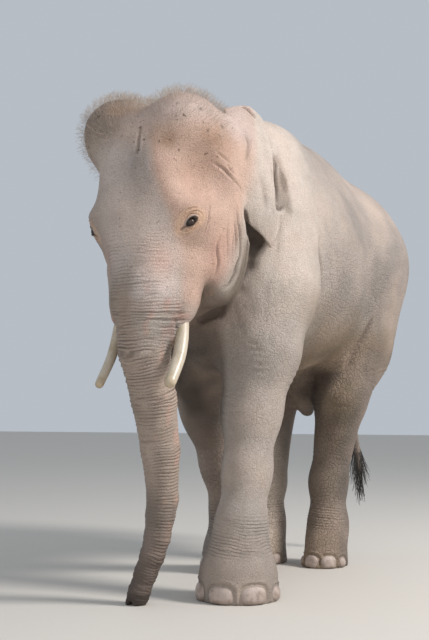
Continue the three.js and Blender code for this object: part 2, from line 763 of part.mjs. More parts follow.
// ---- legs
function leg(name, footName, nailName, key, low, high) {
  const pose = POSE[key];
  const field = flesh([...torsoShapes(), ...LEG_SHAPES[key]]);
  const whole = polygonise(field, [...low, -186], [...high, 1240], CELL.leg);
  add(`${name}_upper`, between(whole, WRIST_LEVEL, BELLY_LEVEL), "skin");
  add(`${name}_lower`, between(whole, ANKLE_LEVEL, WRIST_LEVEL), "skin");
  const set = nailName.startsWith("fore") ? NAIL_SETS.fore : NAIL_SETS.hind;
  const foot = between(whole, 0, ANKLE_LEVEL);
  add(footName, foot, "skin");
  nails(pose, set, field, foot).forEach((plate, n) => {
    add(`${nailName}_${n + 1}`, plate.solid, "nail", plate.shift);
  });
}
leg("foreleg_left", "forefoot_left", "forenail_left", "foreLeft", [0, -330], [560, 640]);
leg("foreleg_right", "forefoot_right", "forenail_right", "foreRight", [-560, 150], [0, 1115]);
leg("hindleg_left", "hindfoot_left", "hindnail_left", "hindLeft", [0, 960], [560, 2000]);
leg("hindleg_right", "hindfoot_right", "hindnail_right", "hindRight", [-560, 900], [0, 1900]);

// ---- the middle of the footprint is the origin
const footprint = new THREE.Box3().setFromObject(elephant);
const middle = footprint.getCenter(new THREE.Vector3());
for (const part of elephant.children) part.geometry.translate(-middle.x, -middle.y, -footprint.min.z);

export default elephant;
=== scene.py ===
import math

import bmesh
import bpy
import numpy as np
from mathutils import Euler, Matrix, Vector
from mathutils.bvhtree import BVHTree


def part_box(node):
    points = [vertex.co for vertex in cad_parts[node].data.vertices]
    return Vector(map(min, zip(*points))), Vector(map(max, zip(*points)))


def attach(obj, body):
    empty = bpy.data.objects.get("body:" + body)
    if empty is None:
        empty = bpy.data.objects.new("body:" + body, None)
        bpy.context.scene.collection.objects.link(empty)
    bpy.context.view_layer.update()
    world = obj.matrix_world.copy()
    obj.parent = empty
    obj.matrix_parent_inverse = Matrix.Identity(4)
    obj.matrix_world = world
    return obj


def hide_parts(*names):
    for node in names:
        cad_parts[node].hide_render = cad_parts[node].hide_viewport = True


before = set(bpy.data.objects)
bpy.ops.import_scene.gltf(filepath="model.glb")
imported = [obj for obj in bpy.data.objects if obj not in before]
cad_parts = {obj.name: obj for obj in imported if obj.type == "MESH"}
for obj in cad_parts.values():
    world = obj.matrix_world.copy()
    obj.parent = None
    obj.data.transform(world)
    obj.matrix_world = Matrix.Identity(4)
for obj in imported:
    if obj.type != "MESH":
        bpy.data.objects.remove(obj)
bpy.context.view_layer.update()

# A bull asian elephant, standing. The shapes are set down in millimetres, with +Z up,
# the head along -Y, the animal's left along +X and y = 0 over the left forefoot.
MM = 0.001
FOOT_LOW, FOOT_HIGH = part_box("forefoot_left")
PART_Y = (FOOT_LOW.y + FOOT_HIGH.y) / 2  # where y = 0 lies in the part's frame
FRAME_SHIFT = np.array((0, PART_Y, 0))

BLEND_BODY = 130  # how softly big masses run together
BLEND_LIMB = 80
BLEND_FACE = 60
BLEND_CHAIN = 20  # between the rods of one chain
SIDE_NAMES = {1: "left", -1: "right"}
SKIN_TRIANGLES = 196000
RING_STEP = 15.0  # between the fine rings of the trunk and the ankles
FAR = 1e6  # a distance past every shape


# ---- distance fields -------------------------------------------------------
# A shape is a pair: a function from points to distances, and how softly it joins.
def lump(centre, radii, blend=BLEND_BODY, turn=(0, 0, 0)):
    turned = np.array(Euler([math.radians(a) for a in turn], "XYZ").to_matrix(), np.float32)
    centre = np.array(centre, np.float32)
    radii = np.array(radii, np.float32)

    def distance(points):
        local = ((points - centre) @ turned) / radii
        k0 = np.sqrt((local * local).sum(1))
        k1 = np.sqrt(((local / radii) ** 2).sum(1))
        return k0 * (k0 - 1) / np.maximum(k1, 1e-9)

    return distance, blend


def rod(a, ra, b, rb, blend=BLEND_LIMB):
    a = np.array(a, np.float32)
    axis = np.array(b, np.float32) - a
    l2 = float(axis @ axis)
    rr = ra - rb
    a2 = l2 - rr * rr

    def distance(points):
        p = points - a
        along = p @ axis
        beyond = along - l2
        q = p * l2 - along[:, None] * axis
        x2 = (q * q).sum(1)
        y2 = along * along * l2
        z2 = beyond * beyond * l2
        k = math.copysign(1, rr) * rr * rr * x2
        side = (np.sqrt(x2 * a2 / l2) + along * rr) / l2 - ra
        low_end = np.sqrt(x2 + y2) / l2 - ra
        high_end = np.sqrt(x2 + z2) / l2 - rb
        out = np.where(np.sign(along) * a2 * y2 < k, low_end, side)
        return np.where(np.sign(beyond) * a2 * z2 > k, high_end, out)

    return distance, blend


def both(centre, radii, blend=BLEND_BODY, turn=(0, 0, 0)):
    other = (-centre[0], centre[1], centre[2])
    return [lump(centre, radii, blend, turn), lump(other, radii, blend, (turn[0], -turn[1], -turn[2]))]


def chain(points, blend):
    rods = []
    for n in range(len(points) - 1):
        a, b = points[n], points[n + 1]
        rods.append(rod(a[:3], a[3], b[:3], b[3], BLEND_CHAIN if n else blend))
    return rods


def soft_min(a, b, k):
    h = np.maximum(k - np.abs(a - b), 0) / k
    return np.minimum(a, b) - h * h * k / 4


def field(steps, points):
    """Distance from the skin. Each group of shapes comes with 1 to add it or -1 to cut it out."""
    points = points.astype(np.float32)
    d = np.full(len(points), FAR, np.float32)
    for sign, group in steps:
        for distance, blend in group:
            d = sign * soft_min(sign * d, distance(points), blend)
    return d


# ---- the animal's masses ---------------------------------------------------
def torso_shapes():
    return [
        lump((0, 880, 1766), (560, 900, 626)),  # barrel
        lump((0, 880, 1540), (490, 690, 405)),  # belly
        lump((0, 980, 1960), (408, 880, 530)),  # arched back
        *both((215, 1460, 1790), (410, 500, 400)),  # rump
        *both((245, 1490, 2005), (230, 400, 245)),  # hips
        lump((0, 340, 1640), (390, 450, 560)),  # chest
        lump((0, 430, 2030), (345, 480, 430)),  # withers
        *both((210, 420, 2194), (185, 315, 213)),  # tops of the shoulder blades
        rod((0, 280, 1960), 390, (0, -130, 2000), 310, BLEND_BODY),  # neck
        rod((0, 200, 1650), 300, (0, -60, 1700), 210, BLEND_BODY),  # throat
    ]


# Joints and feet: how far out to the leg's side, along the body, and up.
FORE_LEFT = dict(
    side=1,
    elbow=(256, 240, 1200),
    forearm=(240, 170, 885),
    wrist=(249, 100, 600),
    ankle=(250, 28, 330),
    foot=(250, 0, 0),
)
FORE_RIGHT = dict(
    side=-1,
    elbow=(225, 420, 1200),
    forearm=(197, 538, 885),
    wrist=(172, 645, 600),
    ankle=(167, 762, 330),
    foot=(165, 800, 0),
)
HIND_LEFT = dict(
    side=1,
    knee=(275, 1306, 980),
    hock=(182, 1325, 480),
    ankle=(184, 1308, 230),
    foot=(185, 1260, 0),
)
HIND_RIGHT = dict(
    side=-1,
    knee=(268, 1290, 980),
    hock=(204, 1305, 480),
    ankle=(204, 1268, 230),
    foot=(190, 1232, 0),
)


def foreleg_shapes(side, elbow, forearm, wrist, ankle, foot):
    def at(point, z=None):
        return (side * point[0], point[1], point[2] if z is None else z)

    return [
        lump((side * 300, 330, 1720), (190, 300, 480), BLEND_BODY, (8, 0, 0)),  # shoulder blade
        rod((side * 290, 300, 1500), 215, at(elbow), 192),
        rod(at(elbow), 192, at(forearm), 138),
        rod(at(forearm), 138, at(wrist), 109),
        rod(at(wrist), 109, at(ankle), 116),
        rod(at(ankle), 116, at(foot, 120), 161),
        rod(at(foot, 95), 178, at(foot, -60), 196),
    ]


def hindleg_shapes(side, knee, hock, ankle, foot):
    def at(point, dy=0, z=None):
        return (side * point[0], point[1] + dy, point[2] if z is None else z)

    return [
        lump((side * 300, 1520, 1520), (230, 390, 480), BLEND_BODY, (-14, 0, 0)),  # thigh
        rod((side * 290, 1440, 1250), 205, at(knee), 146, BLEND_BODY),
        rod(at(knee), 144, at(hock), 100),
        rod(at(hock), 100, at(ankle), 106),
        rod(at(ankle), 104, at(foot, 40, -40), 118),
        rod(at(foot, -30, 120), 96, at(foot, -56, -40), 116),
    ]


# The trunk's and the tail's middle lines, with the radius at each point.
TRUNK = [
    (6, -486, 1420, 141), (2, -465, 1170, 118), (12, -392, 943, 104), (18, -342, 714, 90),
    (10, -306, 484, 72), (1, -312, 410, 67), (-10, -320, 310, 60), (-30, -330, 225, 56),
    (-58, -342, 145, 52), (-84, -356, 60, 50), (-104, -367, -20, 50),
]
TAIL = [
    (0, 1840, 1975, 66), (2, 1975, 1860, 58), (8, 2038, 1540, 40), (36, 2030, 1050, 31),
    (108, 2014, 640, 22), (125, 2010, 512, 15),
]


def head_shapes():
    return [
        lump((0, -310, 2010), (350, 360, 330)),  # brain case
        lump((165, -380, 2194), (183, 222, 180), BLEND_FACE),  # domes
        lump((-165, -380, 2206), (183, 222, 180), BLEND_FACE),
        *both((215, -410, 1825), (98, 135, 130), BLEND_FACE),  # brow
        *both((240, -200, 2170), (120, 150, 150), BLEND_FACE),  # back of the crown
        *both((215, -190, 1720), (130, 215, 250)),  # cheek
        *both((190, -130, 1560), (120, 150, 170), BLEND_FACE),  # jaw angle
        rod((0, -440, 1850), 220, (8, -490, 1420), 134, BLEND_BODY),  # face
        rod((85, -420, 1580), 103, (172, -397, 1348), 50, BLEND_FACE),  # tusk sheaths
        rod((-82, -418, 1580), 98, (-162, -390, 1340), 56, BLEND_FACE),
        rod((118, -420, 1400), 72, (138, -424, 1235), 34, BLEND_FACE),  # web to the left tusk
        rod((170, -361, 1550), 92, (182, -380, 1412), 57, BLEND_FACE),  # upper lip
        rod((-160, -365, 1550), 88, (-168, -382, 1412), 55, BLEND_FACE),
        rod((0, -110, 1520), 175, (0, -235, 1385), 72, BLEND_FACE),  # lower jaw
    ]


def head_dents():
    return [
        *both((352, -480, 1955), (112, 165, 112), 90),  # temples
        lump((-272, -606, 1962), (108, 108, 102), 80),  # hollow ahead of the right temple
        lump((0, -800, 2060), (70, 130, 170), 60),  # hollow of the forehead
        *both((330, -560, 1735), (70, 70, 45), 50),  # eye hollows
    ]


def hollows():
    """Deep folds without light: behind the jaw, under the ear's lobe and at the trunk's end."""
    jaw_line = [
        (352, -75, 1815, 20), (352, -35, 1745, 24), (350, -12, 1670, 26),
        (336, -10, 1600, 24), (318, -18, 1545, 22), (284, -8, 1475, 24),
        (235, -25, 1420, 26), (150, -20, 1375, 28), (60, -30, 1345, 26),
    ]
    pocket = [
        (343, -106, 1858, 8), (344, -92, 1838, 17), (350, -58, 1775, 30),
        (362, 4, 1722, 40), (350, -14, 1680, 26), (343, -30, 1655, 16),
    ]
    out = []
    for line in (jaw_line, pocket):
        for side in (1, -1):
            out += chain([(side * x, y, z, r) for x, y, z, r in line], 36)
    out.append(rod((-116, -425, -10), 17, (-92, -378, 14), 13, 14))  # the trunk's opening
    return out


def all_shapes():
    return [
        *torso_shapes(),
        *foreleg_shapes(**FORE_LEFT),
        *foreleg_shapes(**FORE_RIGHT),
        *head_shapes(),
        *chain(TRUNK, BLEND_FACE),
        *hindleg_shapes(**HIND_LEFT),
        *hindleg_shapes(**HIND_RIGHT),
        rod((-204, 1378, 1000), 162, (-206, 1320, 640), 116),  # right inner thigh
        rod((26, 1180, 1120), 84, (28, 1380, 905), 38),  # sheath
        *chain(TAIL, BLEND_LIMB),
    ]


# ---- from the field to a mesh ----------------------------------------------
CELL = 8  # the grid's step
BLOCK = 4  # grid steps along the side of a block that is worked out or skipped as one
REACH = 110  # how far round a near block a shape can still matter, over its blend


def field_in_blocks(steps, centres, points):
    """The field at the points of some blocks, leaving out the shapes that are far from a block."""
    d = np.full(points.shape[:2], FAR, np.float32)
    for sign, group in steps:
        for distance, blend in group:
            close = distance(centres) < blend + REACH
            if close.any():
                part = points[close]
                near = distance(part.reshape(-1, 3)).reshape(part.shape[:2])
                d[close] = sign * soft_min(sign * d[close], near, blend)
    return d


def sample(steps, low, high):
    """The field on a grid. Far from the surface only its sign is right."""
    blocks = np.ceil((high - low) / (CELL * BLOCK)).astype(int)
    middles = [low[n] + CELL * (np.arange(blocks[n]) * BLOCK + (BLOCK - 1) / 2) for n in range(3)]
    grid = np.stack(np.meshgrid(*middles, indexing="ij"), -1).reshape(-1, 3)
    coarse = field(steps, grid).reshape(blocks)
    near = np.argwhere(np.abs(coarse) < CELL * BLOCK * 1.7)
    values = np.repeat(np.repeat(np.repeat(coarse, BLOCK, 0), BLOCK, 1), BLOCK, 2)
    inner = np.stack(np.meshgrid(*[np.arange(BLOCK)] * 3, indexing="ij"), -1).reshape(-1, 3)
    places = near[:, None, :] * BLOCK + inner[None]
    centres = (low + CELL * (near * BLOCK + (BLOCK - 1) / 2)).astype(np.float32)
    fine = field_in_blocks(steps, centres, (low + CELL * places).astype(np.float32))
    places = places.reshape(-1, 3)
    values[places[:, 0], places[:, 1], places[:, 2]] = fine.reshape(-1)
    heights = low[2] + CELL * np.arange(values.shape[2])
    return np.maximum(values, -heights[None, None, :].astype(np.float32))  # flat soles at the floor


def surface_nets(values, low):
    """One point in each crossed cell, one square round each crossed grid edge."""
    inside = values < 0
    corners = [(i, j, k) for i in (0, 1) for j in (0, 1) for k in (0, 1)]
    size = np.array(values.shape) - 1

    def shifted(array, c):
        return array[c[0]:c[0] + size[0], c[1]:c[1] + size[1], c[2]:c[2] + size[2]]

    count = sum(shifted(inside, c).astype(np.uint8) for c in corners)
    cells = np.argwhere((count > 0) & (count < 8))
    found = {c: values[tuple((cells + c).T)] for c in corners}
    total = np.zeros((len(cells), 3), np.float32)
    crossings = np.zeros(len(cells), np.float32)
    for a in corners:
        for axis in range(3):
            if a[axis]:
                continue
            b = tuple(v + (n == axis) for n, v in enumerate(a))
            split = (found[a] < 0) != (found[b] < 0)
            t = np.where(split, found[a] / np.where(split, found[a] - found[b], 1), 0)
            place = np.tile(np.array(a, np.float32), (len(cells), 1))
            place[:, axis] = t
            total += np.where(split[:, None], place, 0)
            crossings += split
    points = low + CELL * (cells + total / crossings[:, None])
    index = np.full(values.shape, -1, np.int32)
    index[tuple(cells.T)] = np.arange(len(cells))
    squares = []
    for axis in range(3):
        p, q = (axis + 1) % 3, (axis + 2) % 3
        cut = [slice(0, -1)] * 3
        ahead = list(cut)
        ahead[axis] = slice(1, None)
        here = np.argwhere(inside[tuple(cut)] != inside[tuple(ahead)])
        here = here[(here[:, p] > 0) & (here[:, q] > 0)]
        step_p = np.eye(3, dtype=int)[p]
        step_q = np.eye(3, dtype=int)[q]
        loop = [index[tuple(s.T)] for s in (here, here - step_p, here - step_p - step_q, here - step_q)]
        loop = np.stack(loop, 1)
        outward = inside[tuple(here.T)]
        loop[~outward] = loop[~outward][:, ::-1]
        squares.append(loop)
    return points.astype(np.float64), np.concatenate(squares)


# ---- ears --------------------------------------------------------------------
EAR_ROOT = [(262, -160, 2345), (322, -185, 2180), (345, -170, 2010), (340, -125, 1900), (325, -80, 1820)]
EAR_EDGE = [(318, 95, 2344), (362, 108, 2250), (400, 93, 2110), (438, 122, 1960), (412, 35, 1690)]
EAR_THICK, EAR_THIN, EAR_CLEARANCE = 22, 13, 10
EAR_BLEND = 12
EAR_BEYOND = 30  # added to the distance from the ear's box
EAR_NEAR = 70  # closer than this the true distance is worked out


def smooth_line(points, t):
    """Points along a smooth line through the given ones; t runs from 0 to 1."""
    pts = np.array(points, float)
    pts = np.vstack([2 * pts[0] - pts[1], pts, 2 * pts[-1] - pts[-2]])
    place = np.clip(t, 0, 1) * (len(points) - 1)
    first = np.minimum(place.astype(int), len(points) - 2)
    w = (place - first)[:, None]
    p0, p1, p2, p3 = (pts[first + n] for n in range(4))

    def gap(a, b):
        return np.maximum(((a - b) ** 2).sum(1), 1e-12)[:, None] ** 0.25

    d0, d1, d2 = gap(p0, p1), gap(p1, p2), gap(p2, p3)
    m1 = ((p1 - p0) / d0 - (p2 - p0) / (d0 + d1) + (p2 - p1) / d1) * d1
    m2 = ((p2 - p1) / d1 - (p3 - p1) / (d1 + d2) + (p3 - p2) / d2) * d1
    return p1 + m1 * w + (3 * (p2 - p1) - 2 * m1 - m2) * w**2 + (2 * (p1 - p2) + m1 + m2) * w**3


def ear_sheet(u, v):
    """The ear's middle sheet: u runs down from the top rim, v out from the root."""
    root, edge = smooth_line(EAR_ROOT, u), smooth_line(EAR_EDGE, u)
    p = root + (edge - root) * v[:, None]
    fold = np.exp(-(((u - 0.62) / 0.16) ** 2)) * (np.maximum(0, v - 0.72) / 0.28) ** 2
    roll = np.exp(-((u / 0.1) ** 2)) * v
    p[:, 0] += 45 * fold + 22 * roll + 18 * np.sin(np.pi * v)
    p[:, 1] -= 20 * fold
    p[:, 2] += 34 * np.exp(-((u / 0.14) ** 2)) * np.sin(np.pi * v)
    neck = [*torso_shapes(), *foreleg_shapes(**FORE_LEFT)]
    lift = EAR_CLEARANCE + EAR_THICK / 2 - field([(1, neck)], p)
    p[:, 0] += np.where((lift > 0) & (v > 0), lift * np.minimum(1, v * 4), 0)
    return p


def ear_shape():
    rows, columns = 90, 60
    v, u = np.meshgrid(np.linspace(0, 1, columns + 1), np.linspace(0, 1, rows + 1))
    sheet = ear_sheet(u.ravel(), v.ravel())
    index = np.arange((rows + 1) * (columns + 1)).reshape(rows + 1, columns + 1)
    squares = [index[:-1, :-1], index[:-1, 1:], index[1:, 1:], index[1:, :-1]]
    squares = np.stack(squares, -1).reshape(-1, 4)
    rim = np.minimum.reduce([np.ones_like(u), 4 * (1 - v), 5 * u + 0.35, 5 * (1 - u) + 0.35])
    half = ((EAR_THIN + (EAR_THICK - EAR_THIN) * rim) / 2)[:-1, :-1].ravel()
    tree = BVHTree.FromPolygons(sheet.tolist(), squares.tolist())
    low, high = sheet.min(0), sheet.max(0)

    def distance(points):
        """Both ears at once, as they mirror each other."""
        p = np.abs(points[:, :1])
        p = np.hstack([p, points[:, 1:]])
        out = np.maximum(low - p, p - high).max(1).astype(np.float32)
        out = np.maximum(out, 0) + EAR_BEYOND
        for n in np.flatnonzero(out < EAR_NEAR):
            _, _, face, gap = tree.find_nearest(p[n])
            out[n] = gap - half[face]
        return out

    return distance, EAR_BLEND


# ---- small mesh helpers --------------------------------------------------------
def show(name, data):
    """Puts a mesh, a lamp or a camera in the scene."""
    piece = bpy.data.objects.new(name, data)
    bpy.context.scene.collection.objects.link(piece)
    return piece


def new_piece(name, points, faces):
    mesh = bpy.data.meshes.new(name)
    mesh.from_pydata((points * MM + FRAME_SHIFT).tolist(), [], faces)
    return show(name, mesh)


def tube_faces(rows, columns):
    """The squares of a closed tube of points: rows of squares along it, columns round it."""
    index = np.arange((rows + 1) * columns).reshape(rows + 1, columns)
    after = np.roll(index, -1, 1)
    return np.stack([index[:-1], after[:-1], after[1:], index[1:]], -1).reshape(-1, 4)


def ball_grid(rows, columns):
    """The angle from the pole and the angle round it for each point of a ball's grid."""
    a = np.repeat(np.pi * np.arange(rows + 1) / rows, columns)
    b = np.tile(2 * np.pi * np.arange(columns) / columns, rows + 1)
    return a, b


def points_of(piece):
    """A piece's points in millimetres, and their normals."""
    count = len(piece.data.vertices)
    flat = np.empty(count * 3, np.float32)
    piece.data.vertices.foreach_get("co", flat)
    points = (flat.reshape(-1, 3).astype(float) - FRAME_SHIFT) / MM
    piece.data.vertices.foreach_get("normal", flat)
    return points, flat.reshape(-1, 3).astype(float)


def move_points(piece, points):
    flat = (points * MM + FRAME_SHIFT).astype(np.float32).ravel()
    piece.data.vertices.foreach_set("co", flat)
    piece.data.update()


def neighbours_mean(piece, values):
    edges = np.empty(len(piece.data.edges) * 2, np.int64)
    piece.data.edges.foreach_get("vertices", edges)
    a, b = edges.reshape(-1, 2).T
    count = np.bincount(edges, minlength=len(values))
    out = np.empty_like(values)
    for n in range(values.shape[1]):
        total = np.bincount(a, values[b, n], len(values)) + np.bincount(b, values[a, n], len(values))
        out[:, n] = total / np.maximum(count, 1)
    return out


def split_faces(piece, near):
    """Cuts each face whose middle is in the region near(points) in four."""
    mesh = bmesh.new()
    mesh.from_mesh(piece.data)
    points, _ = points_of(piece)
    chosen = near(points)
    edges = [e for e in mesh.edges if chosen[e.verts[0].index] and chosen[e.verts[1].index]]
    bmesh.ops.subdivide_edges(mesh, edges=edges, cuts=1, use_grid_fill=True)
    mesh.to_mesh(piece.data)
    mesh.free()


# ---- noise -------------------------------------------------------------------
def lattice(cells, seed):
    n = cells[:, 0] * 374761393 + cells[:, 1] * 668265263 + cells[:, 2] * 1440670441 + seed * 1013904223
    n &= 0xFFFFFFFF
    n = ((n ^ (n >> 13)) * 1274126177) & 0xFFFFFFFF
    return ((n ^ (n >> 16)) & 0xFFFF) / 65535.0


def ripple(points, size, seed=0):
    """Smooth noise from -1 to 1. Size is one length, or three for a stretched noise."""
    q = points / np.array(size, float)
    cell = np.floor(q).astype(np.int64)
    f = q - cell
    f = f * f * f * (f * (f * 6 - 15) + 10)
    total = np.zeros(len(points))
    for corner in np.ndindex(2, 2, 2):
        weight = np.prod(np.where(corner, f, 1 - f), axis=1)
        total += weight * lattice(cell + np.array(corner), seed)
    return total * 2 - 1


def step(x, low, high):
    """0 below low, 1 above high, smooth between. Low may be the larger."""
    t = np.clip((x - low) / (high - low), 0, 1)
    return t * t * (3 - 2 * t)


def spot(points, centre, radii):
    """1 at the centre of a soft ellipsoid, falling to nothing past its radii."""
    q = (points - np.array(centre, float)) / np.array(radii, float)
    return np.exp(-(q * q).sum(1) * 1.6)


# ---- places along a line -----------------------------------------------------
def along(points, line):
    """How far along the line each point is, its distance from it, and the nearest place."""
    best = np.full(len(points), 1e9)
    place = np.zeros(len(points))
    nearest = np.zeros((len(points), 3))
    so_far = 0.0
    for a, b in zip(line[:-1], line[1:]):
        axis = b - a
        length = math.sqrt(axis @ axis)
        t = np.clip((points - a) @ axis / (length * length), 0, 1)
        q = a + t[:, None] * axis
        gap = ((points - q) ** 2).sum(1)
        closer = gap < best
        best = np.where(closer, gap, best)
        place = np.where(closer, so_far + t * length, place)
        nearest[closer] = q[closer]
        so_far += length
    return place, np.sqrt(best), nearest, so_far


def crease(points, normals, line, width, depth, roll=0.35):
    """How far a fold line pushes the skin along its normals: a groove with a soft roll on each side."""
    line = smooth_line(line, np.linspace(0, 1, 6 * len(line)))
    reach = 5 * width + 40
    near = ((points > line.min(0) - reach) & (points < line.max(0) + reach)).all(1)
    out = np.zeros(len(points))
    if not near.any():
        return out
    place, gap, nearest, length = along(points[near], line)
    off = points[near] - nearest
    high = (off * normals[near]).sum(1)
    off -= normals[near] * high[:, None]
    gap = np.sqrt((off * off).sum(1))
    taper = np.sqrt(np.sin(np.pi * np.clip(place / length, 0.015, 0.985)))
    groove = -depth * np.exp(-((gap / width) ** 2))
    rolls = roll * depth * np.exp(-(((gap - 2.2 * width) / (1.1 * width)) ** 2))
    out[near] = (groove + rolls) * taper * (np.abs(high) < 70)
    return out


def rings(place, around, spacing, width, seed, wander=0.35):
    """Grooves across a limb, from 0 to -1, with a soft roll between. Each runs part of the way round."""
    spread = np.stack([place / (spacing * 3.1), around * 1.3, np.full_like(place, seed * 7.7)], 1)
    phase = place / spacing + wander * ripple(spread, 1.0, seed)
    phase += 0.12 * ripple(spread * 3, 1.0, seed + 1)
    number = np.round(phase)
    gap = np.abs(phase - number) * spacing
    here = np.stack([number * 3.7, around * 1.1 + number * 5.3, np.full_like(place, seed)], 1)
    strength = step(ripple(here, 1.0, seed + 2), -0.55, 0.35)
    groove = -np.exp(-((gap / width) ** 2))
    roll = 0.3 * np.exp(-(((gap - spacing * 0.5) / (spacing * 0.3)) ** 2))
    return (groove + roll) * (0.25 + 0.75 * strength)


NET_TURN = np.array(Euler((0.6, 0.5, 0.7)).to_matrix())  # keeps the noise's own grid from showing


def net(points, size, width, seed):
    """Grooves, from 0 to -1, along the lines where a noise crosses nothing."""
    place = (points / np.array(size, float)) @ NET_TURN
    bent = place + 0.45 * np.stack([ripple(place * 1.7, 1.0, seed + n) for n in (11, 12, 13)], 1)
    return -np.exp(-((ripple(bent, 1.0, seed) / width) ** 2))


# ---- the skin's folds ----------------------------------------------------------
# Each fold: the points it runs through on the left side, its width and its depth.
FACE_FOLDS = [
    ([
        (305, -368, 2038), (330, -316, 2017), (346, -283, 1992), (358, -244, 1969),
        (358, -191, 1950), (356, -154, 1921),
    ], 7, 6),
    ([(345, -306, 2047), (353, -271, 2012), (357, -216, 1999)], 5, 4),
    ([(322, -372, 2085), (343, -318, 2062), (354, -262, 2040)], 6, 4),
    ([
        (356, -214, 1850), (353, -202, 1788), (350, -177, 1732), (345, -161, 1681),
        (338, -152, 1623), (326, -181, 1562), (304, -191, 1502),
    ], 9, 12),
    ([
        (355, -120, 1840), (353, -102, 1783), (352, -85, 1728), (347, -78, 1669),
        (333, -80, 1609), (315, -90, 1549), (285, -90, 1480),
    ], 8, 9),
    ([(352, -240, 1800), (348, -222, 1740), (344, -205, 1680), (334, -200, 1610)], 7, 7),
    ([(332, -166, 1600), (320, -167, 1540), (300, -187, 1492), (283, -201, 1469)], 9, 10),
    ([
        (352, -176, 1830), (351, -158, 1770), (349, -140, 1710), (343, -128, 1650),
        (334, -140, 1590),
    ], 5, 5),
    ([(340, -236, 1720), (334, -228, 1650), (322, -215, 1585)], 5, 5),
    ([(330, -110, 1640), (318, -115, 1580), (300, -130, 1510), (270, -150, 1455)], 6, 6),
    ([(318, -330, 1700), (312, -330, 1634), (303, -300, 1576), (278, -288, 1515)], 7, 6),
    ([(335, -290, 1790), (330, -282, 1720), (322, -262, 1650), (310, -245, 1580)], 7, 5),
    ([
        (300, -395, 1840), (318, -420, 1795), (316, -423, 1750), (302, -424, 1716),
        (288, -425, 1685),
    ], 5, 5),
    ([(320, -400, 1780), (312, -412, 1735), (300, -410, 1690)], 4, 3.5),
    ([(166, -466, 1310), (160, -450, 1280), (150, -435, 1240), (132, -440, 1180)], 7, 4.5),
]
BODY_FOLDS = [
    ([(510, 435, 1846), (515, 410, 1718), (511, 445, 1628), (487, 491, 1481)], 14, 6),
    ([(529, 572, 1800), (532, 600, 1671), (534, 640, 1560)], 16, 2.5),
    ([(530, 500, 1900), (535, 520, 1760), (530, 545, 1640), (515, 575, 1480)], 14, 2.5),
    ([
        (365, 1180, 1125), (380, 1181, 1188), (420, 1190, 1253), (470, 1213, 1338),
        (505, 1250, 1450),
    ], 20, 11),
    ([(400, 1300, 1060), (430, 1270, 1180), (480, 1290, 1300)], 16, 4),
    ([(287, 43, 1232), (315, 44, 1224), (343, 52, 1215)], 9, 4),
    ([(290, 30, 1200), (330, 38, 1190), (372, 60, 1188)], 8, 3),
    ([(297, 42, 1087), (335, 50, 1087), (371, 71, 1086)], 9, 3.5),
    ([(300, 60, 1120), (345, 60, 1118), (380, 90, 1122)], 8, 3),
    ([(420, -20, 2060), (440, 60, 1900), (430, 90, 1740), (400, 60, 1560)], 22, 3),
]
EAR_FOLDS = [
    ([(285, -95, 2372), (300, -55, 2366), (322, -20, 2345), (335, 10, 2325)], 7, 11),
    ([(352, -120, 2230), (362, -105, 2187), (366, -120, 2130), (364, -147, 2070)], 15, 7),
    ([(399, 98, 2175), (418, 70, 2108), (427, 52, 2030), (434, 54, 1960), (432, 46, 1900)], 7, 12),
    ([(430, 42, 1902), (445, 56, 1873), (462, 92, 1898)], 7, 6),
    ([(352, -40, 2040), (372, -10, 1950), (396, 20, 1850)], 22, 5),
]
FOREHEAD_FOLDS = [([(70, -616, 2170), (72, -629, 2138), (76, -643, 2084), (76, -652, 2042)], 6, 7)]


# Across and up.
BROW_RIDGE = [(134, 2120), (156, 2026), (168, 1951), (182, 1904), (193, 1843), (211, 1787)]


def ridge_at(z):
    """How far out the forehead's ridge lies at each height."""
    across, up = np.array(BROW_RIDGE[::-1], float).T
    return np.interp(z, up, across)


def forehead_trough(points):
    """The shallow trough down the middle of the forehead, between two ridges."""
    x, y, z = points.T
    edge = ridge_at(z)
    inside = step(np.abs(x), edge + 12, edge - 48) * (0.6 + 0.4 * step(np.abs(x), 0, 110))
    high = step(z, 1700, 1930) * step(z, 2230, 2080) * (y < -450)
    ridge = 3 * np.exp(-(((np.abs(x) - edge - 16) / 24) ** 2))
    return high * (ridge - 5 * inside) * (0.4 + 0.6 * step(x, -80, 80))


def both_sides(folds, points, normals):
    total = np.zeros(len(points))
    for line, width, depth in folds:
        for side in (1, -1):
            total += crease(points, normals, [(side * x, y, z) for x, y, z in line], width, depth)
    return total


# ---- eyes ------------------------------------------------------------------------
EYE_RADIUS = 26
LID_RADIUS = 29.5
LID_HALF = (26.5, 18.5)  # half the opening, along it and across it
EYE_OUT = np.array((0.86, -0.5, 0.02)) / np.linalg.norm((0.86, -0.5, 0.02))
SLANT = math.radians(38)  # how far the front corner lies below the back one


def eye_place(side):
    """The ball's middle, and the directions out, along the opening to the front corner, and up."""
    low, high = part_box(f"eye_{SIDE_NAMES[side]}")
    centre = (np.array((low + high) / 2) - FRAME_SHIFT) / MM
    flip = np.array((side, 1, 1))
    out = EYE_OUT * flip
    level = np.array((-0.5, -0.86, 0)) * flip
    level -= out * (level @ out)
    level /= np.linalg.norm(level)
    up = np.cross(level, out) * side
    if up[2] < 0:
        up = -up
    ahead = level * math.cos(SLANT) - up * math.sin(SLANT)
    above = up * math.cos(SLANT) + level * math.sin(SLANT)
    return centre, out, ahead, above


def lid_size(a, b):
    """How far a place lies from the opening's middle, with 1 on the lids' edge."""
    half_up = LID_HALF[1] * np.where(b > 0, 1.0, 0.72)
    return np.sqrt((np.abs(a) / LID_HALF[0]) ** 2.2 + (b / half_up) ** 2)


